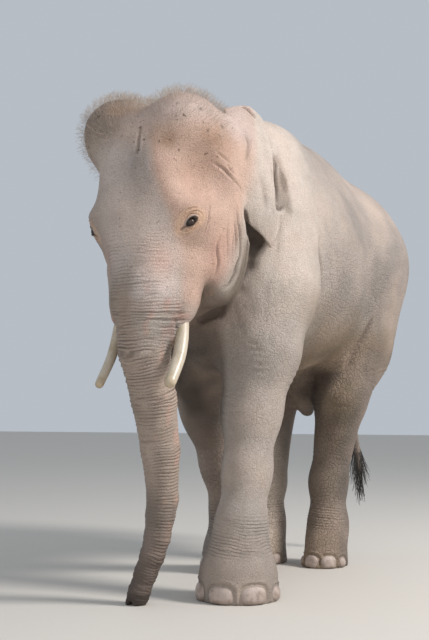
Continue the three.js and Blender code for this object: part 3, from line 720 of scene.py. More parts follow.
def shape_lids(points, push, side):
    """Draws the skin over the eyeball as two lids with an almond opening, and folds round them."""
    centre, out, ahead, above = eye_place(side)
    v = points - centre
    a, b, w = v @ ahead, v @ above, v @ out
    round_ = np.hypot(a, b)
    near = (round_ < 110) & (w > -40)
    a, b, w, round_ = a[near], b[near], w[near], round_[near]
    upper = b > 0
    size = lid_size(a, b)
    # the lids: part of a ball round the eye, melting into the face
    lid = np.sqrt(np.maximum(LID_RADIUS**2 - np.minimum(round_, LID_RADIUS - 1) ** 2, 0))
    blend = step(round_, 42, 17)
    shaped = w + (np.maximum(lid, w) - w) * blend
    # the lids' thick edges, and the tear line in front
    shaped += 4.5 * np.exp(-(((size - 1.26) / 0.17) ** 2)) * np.where(upper, 1, 0.6)
    tear = np.exp(-((b + 2) / 5.5) ** 2) * step(a, LID_HALF[0] - 4, LID_HALF[0] + 8)
    shaped -= 5.5 * tear * step(a, 72, 45) * step(size, 0.95, 1.1)
    # folds above and below, following the opening
    for at, depth, width in ((1.72, 6.5, 0.15), (2.3, 6.5, 0.19), (3.05, 5.5, 0.22), (3.9, 4.2, 0.26)):
        past = size - at - 0.12 * np.sin(3.0 * np.arctan2(b, a) + at * 5)
        side_fade = np.where(upper, 1, 0.75) * (0.55 + 0.45 * np.cos(np.arctan2(b, a) * 2 + at * 9))
        groove = depth * side_fade * np.exp(-((past / width) ** 2))
        shaped -= groove
        # the grooves also count as folds, which darken the hide there as painted shade
        push[near] -= 0.9 * groove
        shaped += 0.5 * depth * side_fade * np.exp(-(((past - 0.3) / (width * 1.5)) ** 2))
    # short lines running out from both corners
    angle = np.arctan2(b, np.abs(a))
    rays = np.exp(-((np.sin(angle * 7 + 0.5) / 0.35) ** 2)) * step(size, 1.5, 2.2) * step(round_, 78, 45)
    shaped -= 1.8 * rays * step(np.abs(angle), 1.1, 0.5)
    # the opening itself: the skin turns in behind the ball
    socket = np.sqrt(np.maximum(15.0**2 - np.minimum(round_, 14) ** 2, 0)) - 4
    shaped = shaped + (socket - shaped) * step(size, 1.03, 0.9)
    moved = points.copy()
    moved[near] += out * (shaped - w)[:, None]
    return moved


# ---- the skin ----------------------------------------------------------------------
LOW = np.array((-640.0, -760.0, -40.0))  # the sampled region's corners
HIGH = np.array((640.0, 2140.0, 2560.0))
FAINT = 0.004  # a mask below this counts as nothing
SOLE = 3  # skin lower than this lies flat on the floor
EYE_REGION = 62  # round each eye the mesh is finest
EYE_FRONT = 8  # from the ball's middle to the middle of that region
SMOOTHING = 0.6  # how far a point moves to the mean of its neighbours
SMOOTH_TURNS = 2
NAIL_SQUARE = 2.7  # 2 gives a round outline, more a squarer one
TRUNK_LINE = np.array([(0, -500, 1900), (0, -500, 1660), *[t[:3] for t in TRUNK]], float)
TAIL_LINE = np.array([t[:3] for t in TAIL], float)
LEG_LINES = {
    "fore_left": [(275, 240, 1200), (255, 100, 600), (250, 28, 330), (250, 0, 0)],
    "fore_right": [(-225, 420, 1200), (-172, 645, 600), (-167, 762, 330), (-165, 800, 0)],
    "hind_left": [(275, 1306, 980), (182, 1325, 480), (184, 1308, 230), (185, 1260, 0)],
    "hind_right": [(-268, 1290, 980), (-204, 1305, 480), (-204, 1268, 230), (-190, 1232, 0)],
}


def fine_region(p):
    """Where the skin needs its finest mesh: head, trunk, ears and feet."""
    x, y, z = p.T
    head = (y < -60 + 0.25 * (z - 1900)) & (z > 1250)
    trunk = (y < -230) & (np.abs(x) < 260)
    ear = (np.abs(x) > 250) & (y < 230) & (z > 1640)
    feet = z < 420
    return head | trunk | ear | feet


def by_trunk(points):
    return (points[:, 1] < -230) & (np.abs(points[:, 0]) < 240)


def trunk_middle(z):
    """How far across the trunk's middle line lies at each height."""
    return np.interp(z, TRUNK_LINE[::-1, 2], TRUNK_LINE[::-1, 0])


def only(mask, points, pattern):
    """A pattern worked out only where the mask is above nothing, times the mask."""
    out = np.zeros(len(points))
    here = mask > FAINT
    if here.any():
        out[here] = mask[here] * pattern(points[here])
    return out


def leg_rings(name, line, points):
    """The rings of skin above a foot, at the wrist or hock, and at the elbow or knee."""
    x, y, z = points.T
    side = math.copysign(1, line[0][0])
    low = 1000 if "hind" in name else (150 if side < 0 else -200)
    high = 2000 if "hind" in name else (1000 if side < 0 else 560)
    here = ((z < 1250) & (z > 150) & (x * side > 0) & (y > low) & (y < high)).astype(float)
    middle = np.array(line, float)[::-1]
    seed = 31 + sum(map(ord, name)) % 50

    def pattern(p):
        up = p[:, 2]
        across = p[:, 0] - np.interp(up, middle[:, 2], middle[:, 0])
        ahead = np.interp(up, middle[:, 2], middle[:, 1]) - p[:, 1]
        turn = np.arctan2(across, ahead)
        height = up + 0.12 * side * (p[:, 0] - middle[0, 0])
        ankle = step(up, 190, 235) * step(up, 430, 350) * (0.45 + 0.55 * step(np.cos(turn), -0.2, 0.5))
        wrist = step(up, 430, 520) * step(up, 760, 640) * step(ripple(p, 130, seed + 20), -0.3, 0.5)
        knee = step(up, 800, 900) * step(up, 1250, 1120) * step(ripple(p, 150, seed + 40), -0.2, 0.5)
        total = np.zeros(len(p))
        for mask, spacing, width, depth, wander in (
            (ankle, 15.0, 4.2, 3.4, 0.5),
            (wrist, 26, 7, 2.4, 0.8),
            (knee, 34, 9, 3.0, 1.0),
        ):
            at = mask > FAINT
            grooves = rings(height[at], turn[at], spacing, width, seed + int(spacing), wander)
            total[at] += depth * mask[at] * grooves
        return total

    return only(here, points, pattern)


def nail_rims(points):
    """The skin's groove round each nail, and the roll of skin past it."""
    push = np.zeros(len(points))
    for _, centre, way, half in all_nails():
        v = points - centre
        near = ((v * v).sum(1) < 120**2) & (v @ way > -30)
        u = np.abs(v[near] @ np.array((-way[1], way[0], 0))) / half[0]
        h = np.abs(v[near, 2]) / half[2]
        past = (u**NAIL_SQUARE + h**NAIL_SQUARE) ** (1 / NAIL_SQUARE)
        roll = np.exp(-(((past - 1.32) / 0.13) ** 2))
        groove = np.exp(-(((past - 1.08) / 0.08) ** 2))
        push[near] += 4 * roll - 4 * groove
    return push * (points[:, 2] > 8)


def fold_skin(points, normals):
    """How far each point of the skin moves along its normal, for every fold but the lids'."""
    x, y, z = points.T
    push = both_sides(FACE_FOLDS + EAR_FOLDS + BODY_FOLDS, points, normals)
    for line, width, depth in FOREHEAD_FOLDS:
        push += crease(points, normals, line, width, depth)
    push += forehead_trough(points)
    near = by_trunk(points) & (z < 1800)
    place, gap = np.zeros(len(points)), np.full(len(points), 999.0)
    around = np.zeros(len(points))
    place[near], gap[near], nearest, _ = along(points[near], TRUNK_LINE)
    off = points[near] - nearest
    around[near] = np.arctan2(off[:, 0], -off[:, 1])
    top = step(z, 1760, 1560) * near
    face = 0.7 * top * step(np.abs(x), 215, 120) * step(y, -440, -540)
    free = step(z, 1450, 1330) * near * step(gap, 230, 180)
    on_trunk = np.maximum(face, free)
    at = on_trunk > FAINT
    wide = rings(place[at], around[at], 31, 7, 3)
    fine = rings(place[at], around[at], 15.5, 4, 5)
    lively = 0.55 + 0.45 * ripple(points[at], (160, 160, 120), 21)
    shaded_side = 0.5 + 0.5 * step(x[at], 70, -30)
    low = step(z[at], 1000, 600)
    lit = step(x[at] - trunk_middle(z[at]), -10, 50)
    wide *= 7.0 * lively * shaded_side * (1 - 0.6 * low)
    fine *= 2.8 * (1 - 0.7 * low * (1 - lit))
    push[at] += on_trunk[at] * (wide + fine)
    for name, line in LEG_LINES.items():
        push += leg_rings(name, line, points)
    feet = z < 160
    push[feet] += nail_rims(points[feet])
    behind = y > 1880
    t_place, t_gap, _, _ = along(points[behind], TAIL_LINE)
    push[behind] += (t_gap < 75) * 2.0 * rings(t_place, points[behind, 0] * 0.02, 26, 6, 81)
    rest = 1 - np.clip(on_trunk * 2, 0, 1)
    throat = rest * step(y, 260, 40) * step(z, 2000, 1700) * (y > -150) * (z > 1200)
    push += only(throat * 2.4, points, lambda p: net(p, (60, 60, 200), 0.16, 101))
    shoulder = sum(spot(points, (side * 330, 180, 1450), (260, 260, 420)) for side in (1, -1))
    shoulder = 0.8 * rest * (shoulder > 0.02) * shoulder
    push += only(shoulder, points, lambda p: net(p, (70, 60, 120), 0.16, 102))
    flank = step(y, 350, 520) * step(y, 1350, 1150) * step(z, 2150, 1750) * (z > 1000)
    push += only(flank * 2.0, points, lambda p: net(p, (140, 85, 260), 0.13, 103))
    rump = step(y, 1250, 1450) * (z > 900) * (z < 2200)
    push += only(rump * 1.6, points, lambda p: net(p, (180, 180, 90), 0.13, 104))
    hip = step(y, 980, 1120) * step(y, 1600, 1450) * step(z, 1765, 1820) * step(z, 1985, 1930)
    hip = hip * step(np.abs(x), 300, 400) * 2.4
    push += only(hip, points, lambda p: rings(p[:, 2] + 0.1 * p[:, 1], p[:, 1] / 170, 21, 5, 91, 0.5))
    neck = step(y, -90, 0) * step(y, 420, 250) * step(z, 1650, 1800)
    push += only(neck * 1.2, points, lambda p: net(p, (90, 50, 260), 0.15, 105))
    return push


def ring_places(points):
    """Where the hide is finely ringed: a count of rings at each point, and how strong they are there."""
    x, y, z = points.T
    near = by_trunk(points) & (z < 1800)
    at = np.zeros(len(points))
    share = np.zeros(len(points))
    place, gap, _, _ = along(points[near], TRUNK_LINE)
    at[near] = place / RING_STEP
    face = step(z, 1780, 1560) * step(np.abs(x), 215, 120) * step(y, -440, -540)
    free = step(z, 1450, 1330)
    share[near] = (np.maximum(0.55 * face, free)[near]) * step(gap, 230, 180)
    share *= 1 - 0.75 * step(z, 1100, 700) * step(x - trunk_middle(z), 50, -10)
    legs = (z < 460) & (z > 150) & ~near
    at[legs] = (z[legs] + 0.12 * np.abs(x[legs])) / RING_STEP
    share[legs] = (step(z, 190, 240) * step(z, 440, 330))[legs] * 0.8
    return at, share


def make_skin():
    flesh = [(1, all_shapes()), (-1, head_dents() + hollows()), (1, [ear_shape()])]
    points, squares = surface_nets(sample(flesh, LOW, HIGH), LOW)
    skin = new_piece("skin", points, squares.tolist())
    split_faces(skin, fine_region)
    eyes = [centre + out * EYE_FRONT for centre, out, _, _ in (eye_place(1), eye_place(-1))]
    split_faces(skin, lambda p: np.minimum(*[((p - eye) ** 2).sum(1) for eye in eyes]) < EYE_REGION**2)
    points, _ = points_of(skin)
    for _ in range(SMOOTH_TURNS):
        points = points * (1 - SMOOTHING) + neighbours_mean(skin, points) * SMOOTHING
    move_points(skin, points)
    points, normals = points_of(skin)
    push = fold_skin(points, normals)
    points = points + normals * push[:, None]
    for side in (1, -1):
        points = shape_lids(points, push, side)
    points[:, 2] = np.where(points[:, 2] < SOLE, 0, points[:, 2])
    move_points(skin, points)
    number_on(skin, "fold", push)
    thin_out(skin, SKIN_TRIANGLES)
    return skin


def thin_out(skin, triangles):
    """Leaves the skin the given number of triangles, where its shape needs them."""
    count = sum(len(face.vertices) - 2 for face in skin.data.polygons)
    modifier = skin.modifiers.new("thin", "DECIMATE")
    modifier.ratio = triangles / count
    keep_result(skin)


def keep_result(piece):
    """Replaces a piece's mesh by what its modifiers make of it."""
    graph = bpy.context.evaluated_depsgraph_get()
    mesh = bpy.data.meshes.new_from_object(piece.evaluated_get(graph), depsgraph=graph)
    old = piece.data
    piece.modifiers.clear()
    piece.data = mesh
    bpy.data.meshes.remove(old)
    mesh.name = piece.name


def number_on(piece, name, values):
    """Keeps one number for each point of a piece, for its material to read."""
    layer = piece.data.attributes.new(name, "FLOAT", "POINT")
    layer.data.foreach_set("value", np.asarray(values, np.float32))


def colour_on(piece, name, colours):
    layer = piece.data.attributes.new(name, "FLOAT_COLOR", "POINT")
    flat = np.hstack([colours, np.ones((len(colours), 1))]).astype(np.float32)
    layer.data.foreach_set("color", flat.ravel())


# ---- shading ---------------------------------------------------------------------
class Value:
    """A number in a material, which sums can be written with."""

    def __init__(self, paint, socket):
        self.paint = paint
        self.socket = socket

    def maths(self, operation, *others, clamp=False):
        sockets = {n: v for n, v in enumerate((self, *others))}
        node = self.paint.node("ShaderNodeMath", {"operation": operation, "use_clamp": clamp}, sockets)
        return Value(self.paint, node.outputs[0])

    def __add__(self, other):
        return self.maths("ADD", other)

    __radd__ = __add__

    def __mul__(self, other):
        return self.maths("MULTIPLY", other)

    __rmul__ = __mul__

    def __sub__(self, other):
        return self.maths("SUBTRACT", other)

    def __rsub__(self, other):
        return (self * -1) + other

    def __truediv__(self, other):
        return self.maths("DIVIDE", other)

    def __pow__(self, other):
        return self.maths("POWER", other)

    def limited(self):
        return self.maths("ADD", 0.0, clamp=True)

    def ramp(self, low, high):
        """0 below low, 1 above high."""
        settings = {"interpolation_type": "SMOOTHSTEP"}
        sockets = {"Value": self, "From Min": low, "From Max": high}
        node = self.paint.node("ShaderNodeMapRange", settings, sockets)
        return Value(self.paint, node.outputs[0])


def linear(hex_colour):
    """A colour written as in a paint chart, as the light it gives back."""
    parts = [int(hex_colour[n:n + 2], 16) / 255 for n in (1, 3, 5)]
    return tuple(c / 12.92 if c <= 0.04045 else ((c + 0.055) / 1.055) ** 2.4 for c in parts)


class Paint:
    """A material, built up from nodes."""

    def __init__(self, name, **fixed):
        self.material = bpy.data.materials.new(name)
        self.material.use_nodes = True
        tree = self.material.node_tree
        self.nodes, self.links = tree.nodes, tree.links
        self.nodes.clear()
        self.shader = self.node("ShaderNodeBsdfPrincipled")
        for socket, value in fixed.items():
            self.shader.inputs[socket.replace("_", " ")].default_value = value
        output = self.node("ShaderNodeOutputMaterial")
        self.links.new(self.shader.outputs[0], output.inputs["Surface"])
        self.place = self.node("ShaderNodeTexCoord").outputs["Object"]

    def node(self, kind, settings=None, sockets=None):
        node = self.nodes.new(kind)
        for name, value in (settings or {}).items():
            setattr(node, name, value)
        for name, value in (sockets or {}).items():
            socket = node.inputs[name]
            if isinstance(value, Value):
                value = value.socket
            if isinstance(value, bpy.types.NodeSocket):
                self.links.new(value, socket)
            elif isinstance(value, tuple) and socket.type == "RGBA":
                socket.default_value = (*value, 1.0) if len(value) == 3 else value
            else:
                socket.default_value = value
        return node

    def number(self, name):
        return Value(self, self.node("ShaderNodeAttribute", {"attribute_name": name}).outputs["Fac"])

    def colour(self, name):
        return self.node("ShaderNodeAttribute", {"attribute_name": name}).outputs["Color"]

    def stretched(self, scale):
        if scale == (1, 1, 1):
            return self.place
        sockets = {"Vector": self.place, "Scale": scale}
        return self.node("ShaderNodeMapping", {"vector_type": "POINT"}, sockets).outputs[0]

    def noise(self, scale, detail=3.0, rough=0.55, stretch=(1, 1, 1)):
        sockets = {"Scale": scale, "Detail": detail, "Roughness": rough}
        sockets["Vector"] = self.stretched(stretch)
        return Value(self, self.node("ShaderNodeTexNoise", None, sockets).outputs[0])

    def vector(self, operation, sockets):
        return self.node("ShaderNodeVectorMath", {"operation": operation}, sockets).outputs[0]

    def cracks(self, scale, stretch=(1, 1, 1)):
        """Distance from the edges of cells about 1 / scale across."""
        place = self.stretched(stretch)
        sockets = {"Vector": place, "Scale": scale * 0.8, "Detail": 2.0}
        bend = self.node("ShaderNodeTexNoise", None, sockets)
        shift = self.vector("SCALE", {0: bend.outputs["Color"], "Scale": 0.7 / scale})
        sockets = {"Vector": self.vector("ADD", {0: place, 1: shift}), "Scale": scale}
        cells = self.node("ShaderNodeTexVoronoi", {"feature": "DISTANCE_TO_EDGE"}, sockets)
        return Value(self, cells.outputs["Distance"])

    def mix(self, share, a, b):
        """From a to b. Either is a socket or a colour written as in a paint chart."""
        settings = {"data_type": "RGBA", "blend_type": "MIX", "clamp_factor": True}
        a, b = (linear(c) if isinstance(c, str) else c for c in (a, b))
        return self.node("ShaderNodeMix", settings, {0: share, 6: a, 7: b}).outputs[2]

    def bump(self, height, depth):
        sockets = {"Height": height, "Distance": depth, "Strength": 1.0}
        return self.node("ShaderNodeBump", None, sockets).outputs[0]

    def finish(self, **sockets):
        for name, value in sockets.items():
            socket = self.shader.inputs[name.replace("_", " ")]
            self.links.new(value.socket if isinstance(value, Value) else value, socket)
        return self.material


def beside(points, line, radius):
    """1 on a line, falling to nothing at the radius."""
    return step(along(points, np.array(line, float))[1], radius, radius * 0.3)


# ---- the skin's colours ----------------------------------------------------------
# Several of these colours are painted shade or painted light; each place that lays one says so.
HIDE = {
    "pale": "#ccc1b7", "face": "#cca896", "crown": "#c8b3ab", "bristle": "#a17a5c",
    "shade": "#cac2bd", "trunk": "#a09184", "trunk_low": "#665e56", "tip": "#2f2c29",
    "barrel": "#928b85", "rump": "#978f89", "belly": "#87765f", "leg": "#a69d95",
    "foot": "#858079", "hind": "#615b54", "far_hind_painted_light": "#dacdbe", "jaw": "#73685b",
    "pink": "#d9a191", "dark": "#4a3a30", "far": "#766b61", "lid": "#e0b795",
    "rim": "#2c2019", "painted_chest_shade": "#3b3129", "painted_deep_shade": "#1c1612",
}


def skin_colours(points, folds):
    """The hide's colour at each point, before its fine grain, with painted shade and painted light laid
    in.
    """
    x, y, z = points.T
    palette = {name: np.array(linear(code)) for name, code in HIDE.items()}
    colour = np.tile(palette["pale"], (len(points), 1))

    def lay(share, name):
        nonlocal colour
        share = np.clip(share, 0, 1)[:, None]
        colour = colour * (1 - share) + palette[name] * share

    soft = ripple(points, 240, 201) * 90
    lay(step(y + soft, 260, 720) * 0.9, "barrel")
    lay(step(y + soft, 1120, 1400), "rump")
    # darker and browner low on the body: partly dust, partly painted shade
    lay(step(z + soft, 1640, 1180) * step(y, 150, 420), "belly")
    lay(step(z + soft, 1560, 900) * step(y, 1100, 1300), "hind")
    lay(step(z + soft, 1500, 1150) * step(y, 800, 500) * 0.85, "leg")
    # painted light: the far hind leg made paler, for the light that reaches it in the belly's shade
    lay(step(x, -60, -130) * step(z + soft, 1250, 950) * step(y, 1030, 1080), "far_hind_painted_light")
    # painted shade on the right foreleg and the chest beside it, which the left foreleg keeps from the
    # key lamp
    right_fore = step(x, -60, -130) * step(z, 1350, 1150) * (y < 1000)
    lay(right_fore * 0.75, "far")
    lay(step(z, 420, 150) * step(y, 1000, 900), "foot")
    head = step(y + 0.25 * (2000 - z), -60, -160) * step(z, 1300, 1420)
    lay(head * 0.95, "face")
    lay(head * step(z + soft * 0.5, 2120, 2230), "crown")
    ridge = ridge_at(z)
    middle = head * step(x + soft * 0.15, ridge + 14, ridge - 40) * step(z, 2300, 2050)
    lay(middle * step(y, -380, -480) * 0.8, "shade")
    # painted shade on the head's right side, away from the key lamp, darkest on the right dome
    lay(head * step(x + soft * 0.3, -60, -200) * 0.6, "trunk")
    lay(head * step(x + soft * 0.3, 20, -120) * step(z, 2080, 2200) * 0.75, "jaw")
    for centre, radii, strength in (
        ((208, -589, 2110), (105, 95, 58), 1.0), ((340, -380, 2150), (90, 120, 95), 0.85),
        ((-92, -557, 2295), (100, 110, 55), 0.85), ((-250, -420, 2230), (110, 150, 80), 0.5),
        ((40, -500, 2300), (90, 120, 60), 0.4), ((-330, -360, 2140), (90, 120, 95), 0.5),
    ):
        lay(strength * spot(points, centre, radii) * (0.75 + 0.5 * ripple(points, 40, 203)), "bristle")
    cheek_low = head * step(z, 1720, 1560) * step(y, -330, -210)
    lay(cheek_low * 0.75 * step(z, 1400, 1800), "shade")
    lay(step(y, -250, -170) * step(y, 60, 20) * step(z, 1860, 1760) * step(z, 1300, 1400) * 0.5, "trunk")
    # the lower jaw darker: partly its own darker hide, partly painted shade under the head
    jaw_band = [
        (322, -60, 1640), (312, -80, 1560), (285, -90, 1490), (225, -100, 1425), (140, -110, 1370),
    ]
    folded = points * np.where(points[:, :1] < 0, (-1, 1, 1), (1, 1, 1))
    lay(0.9 * beside(folded, jaw_band, 100), "jaw")
    jaw = step(y, -420, -330) * step(z, 1575, 1470) * step(y, 30, -50) * step(np.abs(x), 300, 220)
    lay(jaw * step(z, 1230, 1300) * 0.9, "jaw")
    front = by_trunk(points)
    trunk = front * step(z + soft * 0.4, 1600, 1380)
    # painted shade: the darker trunk colour over the trunk's right side, away from the key lamp; the two
    # lines below give its own darker lower part
    lay(trunk * step(x + soft * 0.35 + (1400 - z) * 0.03, 60, 0), "trunk")
    lay(trunk * step(z + soft, 1250, 950) * 0.9, "trunk")
    lay(trunk * step(z + soft, 700, 250), "trunk_low")
    lay(trunk * step(z + soft * 0.3, 400, 160) * 0.95, "tip")
    # painted shade: the trunk's end near-black where it meets the floor
    lay(trunk * step(z + soft * 0.1, 66, 34) * 0.8, "painted_deep_shade")
    # painted shade on the chest between the forelegs, which the left foreleg keeps from the key lamp
    between = step(np.abs(x), 330, 230) * step(z, 1500, 1380) * step(y, 640, 380) * step(y, -230, -120)
    lay(between * 0.85 * step(x, 180, 110), "painted_chest_shade")
    lay(0.6 * between * step(z, 1200, 1400), "painted_chest_shade")
    # painted shade between the hind legs, behind the sheath and under the belly
    groin = step(np.abs(x), 235, 150) * step(y, 1080, 1200) * step(y, 1520, 1330)
    groin = groin * step(z, 1240, 1120) * step(z, 650, 950)
    sheath = beside(points, [(26, 1180, 1120), (28, 1380, 905)], 120)
    lay(groin * 0.85 * (1 - sheath), "painted_deep_shade")
    # painted shadow on the inner front of the left hind thigh, under the belly
    inner = np.interp(z, (780, 930, 1020, 1070, 1120), (170, 215, 255, 300, 340))
    inner = (x > 0) * step(x, inner + 28, inner - 25) * step(z, 1145, 1112) * step(z, 640, 860)
    lay(0.75 * inner * step(y, 1300, 1225) * step(y, 1080, 1130), "painted_deep_shade")
    # painted shade lower down on the front of the left hind leg
    lay(spot(points, (250, 1200, 800), (70, 120, 110)) * 0.7, "dark")
    # painted shade in the hollows carved behind the jaw and under the ear
    hollow = (y > -140) & (y < 160) & (z > 1180) & (z < 1900)
    depth = np.zeros(len(points))
    depth[hollow] = -field([(1, all_shapes())], points[hollow])
    lay(step(depth, 6, 18), "painted_deep_shade")
    # painted shade in the gap under the ear's lobe
    lobe = [(342, -102, 1847), (340, -87, 1830), (339, -76, 1807), (334, -50, 1793)]
    lay(beside(folded, lobe, 17), "painted_deep_shade")
    for side in (1, -1):
        # painted shade on the ear's curled rear corner, turned away from the key lamp
        slot = np.interp(z, (1900, 1960, 2030, 2108, 2175), (46, 54, 52, 70, 98))
        corner = (np.abs(x) > 380) * step(y - slot, 0, 9) * step(z, 1868, 1884)
        corner = corner * step(y, 190, 150) * (z < 2180) * (x * side > 0)
        lay(0.75 * corner, "far")
        lay(0.55 * spot(points, (side * 300, -300, 1640), (60, 90, 150)), "pink")
        lay(0.8 * spot(points, (side * 172, -435, 1325), (60, 50, 24)), "pink")
        lay(0.6 * spot(points, (side * 120, -535, 1580), (80, 90, 120)), "pink")
        centre, out, ahead, above = eye_place(side)
        v = points - centre
        a, b, w = v @ ahead, v @ above, v @ out
        size = lid_size(a, b)
        near = (np.hypot(a, b) < 120) * (w > -60)
        lay(0.65 * near * step(size, 4.2, 2.6), "lid")
        lay(0.8 * near * step(size, 1.7, 1.2) * step(b, 2, 8), "shade")
        # dark round the opening: partly dark skin, partly painted shade under the lids
        lay(0.95 * near * step(size, 1.5, 1.1), "rim")
        tear = np.exp(-(((b + 2) / 6.0) ** 2)) * step(a, LID_HALF[0] - 6, LID_HALF[0] + 4)
        lay(0.85 * near * tear * step(a, 66, 40), "rim")
    lay(0.35 * step(ripple(points, (26, 26, 60), 207), 0.2, 0.7) * trunk * step(x, 20, 90), "pink")
    # painted shade in the deeper folds
    lay(front * step(z, 1750, 1600) * step(folds, -0.8, -6) * 0.55, "dark")
    deep_in_brow = step(-folds, 11, 15) * step(z, 1740, 1860) * (y < -450)
    lay(step(folds, -1.0, -7) * 0.6 * (1 - deep_in_brow), "dark")
    return colour


def skin_material():
    paint = Paint("hide", Roughness=0.78)
    cobble = paint.number("cobble")
    mottle = paint.noise(14.0, 4.0, 0.62)
    broad = paint.noise(3.1, 2.0)
    grain = paint.noise(160.0, 3.0, 0.6)
    fine = paint.cracks(95.0)
    coarse = paint.cracks(42.0)
    across = paint.cracks(60.0, (0.55, 0.55, 1.6))
    colour = paint.mix((mottle - 0.5) * 0.55 + 0.16, paint.colour("hide"), "#6f5d50")
    colour = paint.mix((broad - 0.5) * 0.9 + 0.12, colour, "#e9cfbd")
    freckles = paint.noise(55.0, 1.0, 0.4).ramp(0.68, 0.75) * paint.number("freckle")
    colour = paint.mix(freckles * 0.7, colour, "#54402f")
    colour = paint.mix(paint.number("spot"), colour, "#2c211c")
    lines = (1 - fine.ramp(0.0, 0.1)) * 0.28 + (1 - coarse.ramp(0.0, 0.07)) * 0.3 * cobble
    colour = paint.mix(lines, colour, "#4f4038")
    colour = paint.mix((grain - 0.5) * 0.5 + 0.05, colour, "#3f342c")
    count = paint.number("ring_at") + (paint.noise(5.0, 2.0) - 0.5) * 3.0
    count = count + (paint.noise(18.0, 1.0) - 0.5) * 0.5
    patchy = paint.noise(9.0, 1.0).ramp(0.34, 0.6) * 0.75 + 0.25
    groove = (1 - count.maths("PINGPONG", 0.5).ramp(0.0, 0.3)) * patchy * paint.number("ring")
    # painted shade darkening the grooves of the fine rings
    colour = paint.mix(groove * 0.5, colour, "#3d3029")
    height = fine.ramp(0.0, 0.16) * 0.3 + coarse.ramp(0.0, 0.16) * (0.1 + 0.8 * cobble)
    height = height + across.ramp(0.0, 0.15) * 0.22 + grain * 0.22 - groove * 0.9
    normal = paint.bump(height, 0.0028)
    rough = 0.7 + (mottle - 0.5) * 0.25
    return paint.finish(Base_Color=colour, Normal=normal, Roughness=rough)


def dress_skin(skin):
    points, _ = points_of(skin)
    _, y, z = points.T
    fold = np.empty(len(points), np.float32)
    skin.data.attributes["fold"].data.foreach_get("value", fold)
    colour_on(skin, "hide", skin_colours(points, fold))
    cobble = step(z, 2050, 1500) * step(y, 330, 520) * step(y, 1500, 1200)
    cobble = np.maximum(cobble, 0.6 * step(z, 1500, 1100) * step(y, 1000, 1200))
    cobble = np.maximum(cobble, 0.5 * step(y, -60, 60) * step(y, 420, 250) * step(z, 1700, 1350))
    number_on(skin, "cobble", np.clip(cobble, 0, 1))
    ring_at, ring_share = ring_places(points)
    number_on(skin, "ring_at", ring_at)
    number_on(skin, "ring", ring_share)
    head = step(y, -120, -250) * step(z, 1700, 1900)
    freckle = head * step(z, 1950, 2150) + 0.35 * step(y, -20, -200) * step(z, 1300, 1500)
    number_on(skin, "freckle", np.clip(freckle, 0, 1))
    dots = np.zeros(len(points))
    for centre in (
        (178, -581, 2288), (232, -566, 2284), (315, -493, 2258), (330, -455, 2159), (-183, -592, 2263),
        (69, -616, 2171), (347, -355, 2206), (344, -350, 2143), (250, -520, 2215), (120, -600, 2235),
    ):
        dots = np.maximum(dots, step(((points - np.array(centre)) ** 2).sum(1), 12**2, 5**2))
    tip = by_trunk(points) * (0.62 * step(z, 360, 130) + 0.25 * step(z, 70, 35))
    number_on(skin, "spot", np.maximum(dots * 0.75, tip))
    skin.data.materials.clear()
    skin.data.materials.append(skin_material())
    for face in skin.data.polygons:
        face.use_smooth = True


# ---- eyes, tusks and nails ---------------------------------------------------------
def make_eye(side):
    """The eyeball, with its clear front a little proud."""
    centre, out, ahead, above = eye_place(side)
    rows, columns = 26, 40
    a, b = (angle[:, None] for angle in ball_grid(rows, columns))
    size = EYE_RADIUS + 1.6 * step(np.degrees(a), 34, 12)
    points = centre + size * (out * np.cos(a) + (ahead * np.cos(b) + above * np.sin(b)) * np.sin(a))
    piece = new_piece(f"eyeball_{SIDE_NAMES[side]}", points, tube_faces(rows, columns).tolist())
    number_on(piece, "turn", np.degrees(a[:, 0]))
    tidy_mesh(piece)
    return piece


def tidy_mesh(piece):
    """Merges doubled points, turns the faces outwards and shades the piece smooth."""
    mesh = bmesh.new()
    mesh.from_mesh(piece.data)
    bmesh.ops.remove_doubles(mesh, verts=mesh.verts, dist=1e-6)
    bmesh.ops.recalc_face_normals(mesh, faces=mesh.faces)
    mesh.to_mesh(piece.data)
    mesh.free()
    for face in piece.data.polygons:
        face.use_smooth = True


def eye_material():
    paint = Paint("eye", Roughness=0.4, Coat_Weight=0.12, Coat_Roughness=0.1)
    turn = paint.number("turn")
    rays = paint.noise(420.0, 2.0)
    colour = paint.mix(turn.ramp(27.0, 33.0), "#38210f", "#17100b")
    colour = paint.mix((rays - 0.5) * 1.6, colour, "#2b170b")
    colour = paint.mix(turn.ramp(22.0, 29.0), colour, "#20130c")
    colour = paint.mix(1 - turn.ramp(9.0, 12.0), colour, "#050403")
    return paint.finish(Base_Color=colour)


TUSKS = {
    1: [(130, -395, 1560), (161, -396, 1330), (186, -454, 1160), (201, -580, 1000)],
    -1: [(-130, -395, 1560), (-174, -392, 1330), (-182, -450, 1160), (-174, -580, 1000)],
}
TUSK_RADII = {1: (38, 27), -1: (32, 20)}  # at the root and near the tip


